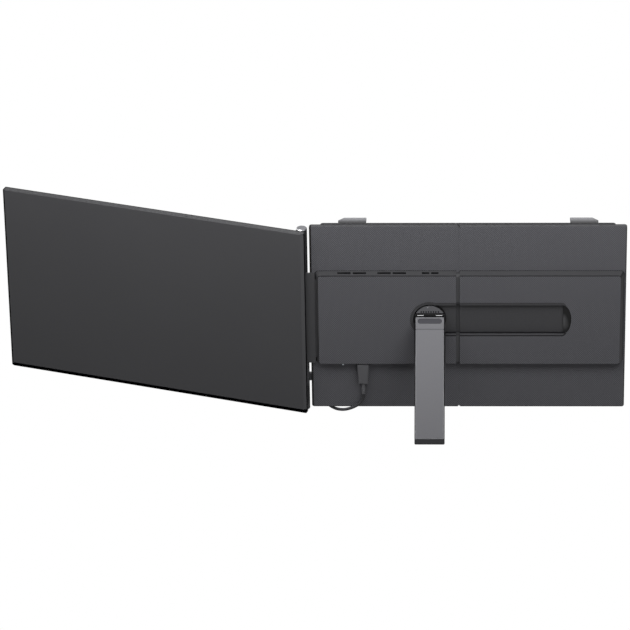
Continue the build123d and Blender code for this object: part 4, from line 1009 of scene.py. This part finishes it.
# Painted shade on the leg's face: where it starts down the leg, where it is deepest, and how deep.
shade_from, shade_to, shade_most = 20 * mm, 137 * mm, 0.7


def leg_painted_shade_and_line(local, tint):
    """The leg's colour, with painted shade that darkens its face towards the foot, and the fine line across it."""
    along_leg = towards(local["Object"], leg_down)
    axis_place = leg_axis.dot(leg_down)
    painted_falloff = add(
        along_leg,
        "ShaderNodeMapRange",
        Value=along_leg,
        From_Min=axis_place + shade_from,
        From_Max=axis_place + shade_to,
        To_Max=shade_most,
    )
    on_face = above(towards(local["Normal"], leg_out), flat_cosine)
    shaded_tint = paint_over(all_of(painted_falloff.outputs[0], on_face), tint, "#505054")
    line_start = axis_place + line_down
    line = within(along_leg, line_start - line_wide / 2, line_start + line_wide / 2)
    return paint_over(line, shaded_tint, "#4c4c50")


# Bead-blasted, anodised aluminium: grey and soft, with a painted highlight along each cut edge.
leg_colours = ("#68686c", "#9c9ca0")
leg_metal = make_highlit_metal(
    "aluminium_bead_blasted_anodised", *leg_colours, 0.6, leg_out, (0.3, 0.95), metallic=0.15, extra_marks=leg_painted_shade_and_line
)
# Polished steel: dark but for a painted highlight on the band that looks back at the viewer.
knuckle_highlit_steel = make_highlit_metal("steel_painted_highlight_band", "#161617", "#e0e0e2", 0.4, (0, -1, 0), (0.94, 1.1))
# Turned aluminium: a painted highlight where it looks up to the left, and grey elsewhere.
cap_highlit_metal = make_highlit_metal("aluminium_turned_painted_highlight", "#7a7a7e", "#eaeaec", 0.4, (-0.75, -0.35, 0.55), (0.62, 1.1))
dress(leg_metal, "leg_cover")
dress(knuckle_highlit_steel, "leg_knuckles")
dress(cap_highlit_metal, "upper_barrel_cap")
print("cut metals ready")

# %% [markdown]
# ## The painted hooks
#
# The hooks are pressed steel with a black powder coat. The shelf that goes over the lid looks up into the
# light and carries painted light, more towards its front. That tone could be a second material with a
# hard edge, but it fades in along the shelf instead.

# %% Hooks
lit_from, lit_to = -0.8 * mm, 6.5 * mm
shelf_depth, side_slant = 1.4 * mm, 0.4

# Powder-coated steel: black and slightly glossy, with painted light in a light grey on the shelf.
hook_metal, shader, local = new_material("steel_powder_coated")
place, facing = place_and_facing(local)
towards_lip = add(shader, "ShaderNodeMapRange", Value=place[1], From_Min=lit_from, From_Max=lit_to)
on_shelf = above(place[2], shelf_top - shelf_depth)
shelf_painted_light = all_of(towards_lip.outputs[0], on_shelf, within(facing[0], -side_slant, side_slant))
tint = paint_over(shelf_painted_light, "#262628", "#8e8e92")
grain = make_grain(local, metal_grain)
finish_plastic(shader, tint, grain, roughness=0.5, level=0.3, depth_mm=0.01)
dress(hook_metal, "left_hook", "right_hook")
print("hooks ready")

# %% [markdown]
# ## Glass, boards and the lamp
#
# The screen's cover glass is nearly black when the display is off, with a sharp reflection. It could be
# clear glass over a black layer; as nothing shows through it, it is one smooth black surface. The boards
# inside are fibreglass under green lacquer. The small lamp beside the plug is white acrylic that glows a
# little.

# %% Glass, boards and lamp
glass_drift = 80

# Glass over black: a sharp, dark mirror.
glass, shader, local = new_material("glass_over_black_display")
tint = paint_over(make_grain(local, glass_drift), "#08080a", "#0d0d10")
set_inputs(shader, Base_Color=tint, Roughness=0.08, IOR=1.5)
dress(glass, "screen_pane", "display_module", "backlight")
# Lacquered fibreglass: green, with a satin shine.
board_green = make_grained_plastic("FR4_solder_mask_green", "#1f4a30", 0.35, 2)
dress(board_green, "circuit_board", "driver_board")
# Moulded acrylic: white and glossy, lit faintly from within.
lamp, shader, local = new_material("acrylic_lamp_white")
set_inputs(shader, Roughness=0.3, IOR=1.49, Emission_Strength=0.1)
set_inputs(shader, Base_Color=linear("#e6ecf0"), Emission_Color=linear("#e6f2ff"))
dress(lamp, "status_lamp")
print("glass, boards and lamp ready")

# %% [markdown]
# ## Background
#
# The object stands before plain white. If that white were as bright for every ray, it would light the
# dark plastic from all sides and wash out each crease. So the world and the floor ask what sort of ray
# looks at them: the camera, gloss and glass see white, and light that only scatters sees a dim grey.

# %% World and floor
scattered_strength, floor_depth, floor_half = 0.09, 0.42, 12
white, floor_grey = linear("#ffffff"), linear("#6c6c6c")


def white_to_eye(tree):
    """A factor that is 1 for rays from the camera and through gloss or glass."""
    path = add(tree, "ShaderNodeLightPath").outputs
    return any_of(path["Is Camera Ray"], path["Is Glossy Ray"], path["Is Transmission Ray"])


world = bpy.data.worlds.new("studio")
bpy.context.scene.world = world
tree = empty_graph(world)
dim = add(tree, "ShaderNodeBackground", Color=white, Strength=scattered_strength)
bright = add(tree, "ShaderNodeBackground", Color=white, Strength=1.0)
chosen = add(tree, "ShaderNodeMixShader", i0=white_to_eye(tree), i1=dim.outputs[0], i2=bright.outputs[0])
add(tree, "ShaderNodeOutputWorld", Surface=chosen.outputs[0])

work = bmesh.new()
bmesh.ops.create_grid(work, x_segments=1, y_segments=1, size=floor_half)
bmesh.ops.translate(work, verts=work.verts, vec=(0, 0, -floor_depth))
floor_mesh = bpy.data.meshes.new("floor")
work.to_mesh(floor_mesh)
work.free()
floor = new_object("floor", floor_mesh)

# Uncoated white paper: plain white to the eye, dim to everything that it would light.
paper = bpy.data.materials.new("paper_white")
tree = empty_graph(paper)
lit = add(tree, "ShaderNodeBsdfDiffuse", Color=floor_grey)
seen = add(tree, "ShaderNodeEmission", Color=white, Strength=1.0)
both = add(tree, "ShaderNodeMixShader", i0=white_to_eye(tree), i1=lit.outputs[0], i2=seen.outputs[0])
add(tree, "ShaderNodeOutputMaterial", Surface=both.outputs[0])
floor_mesh.materials.append(paper)
print("floor", floor_depth, "m below the middle")

# %% [markdown]
# ## Lamps
#
# A wide softbox hangs close above the plate and a little behind it, so that the plate is brighter at its
# top than at its bottom. A large weak one stands to the right on the camera's side and opens the shadows,
# and one in front keeps the other side readable. Point lamps would be simpler, but their shadows have
# hard edges. A lamp's brightness is written as the radiance of its face, because that stays the same when
# its size changes.

# %% Softboxes
def add_softbox(name, place, target, width, height, radiance):
    """A lamp with sides in metres, aimed at a target, whose face has a given brightness."""
    data = bpy.data.lights.new(name, "AREA")
    data.shape = "RECTANGLE"
    data.size = width
    data.size_y = height
    data.energy = radiance * pi * width * height
    softbox = new_object(name, data)
    aim = (Vector(target) - Vector(place)).to_track_quat("-Z", "Y").to_matrix().to_4x4()
    softbox.matrix_world = Matrix.Translation(place) @ aim
    softbox.visible_camera = False
    print(name, round(data.energy, 1), "W")


add_softbox("softbox_over", (-0.05, -0.27, 0.46), (-0.02, 0, 0.2), 1.4, 0.3, 3.9)
add_softbox("softbox_behind", (1.6, -3.4, 1.2), (-0.08, 0, 0), 1.6, 1.6, 1.8)
add_softbox("softbox_front", (0.8, 3.0, 1.4), (-0.08, 0, 0), 1.6, 1.6, 2.0)

# %% [markdown]
# ## View
#
# The Standard view shows each colour as it was written, where a film-like view would dull it.

# %% Colour view
bpy.context.scene.view_settings.view_transform = "Standard"
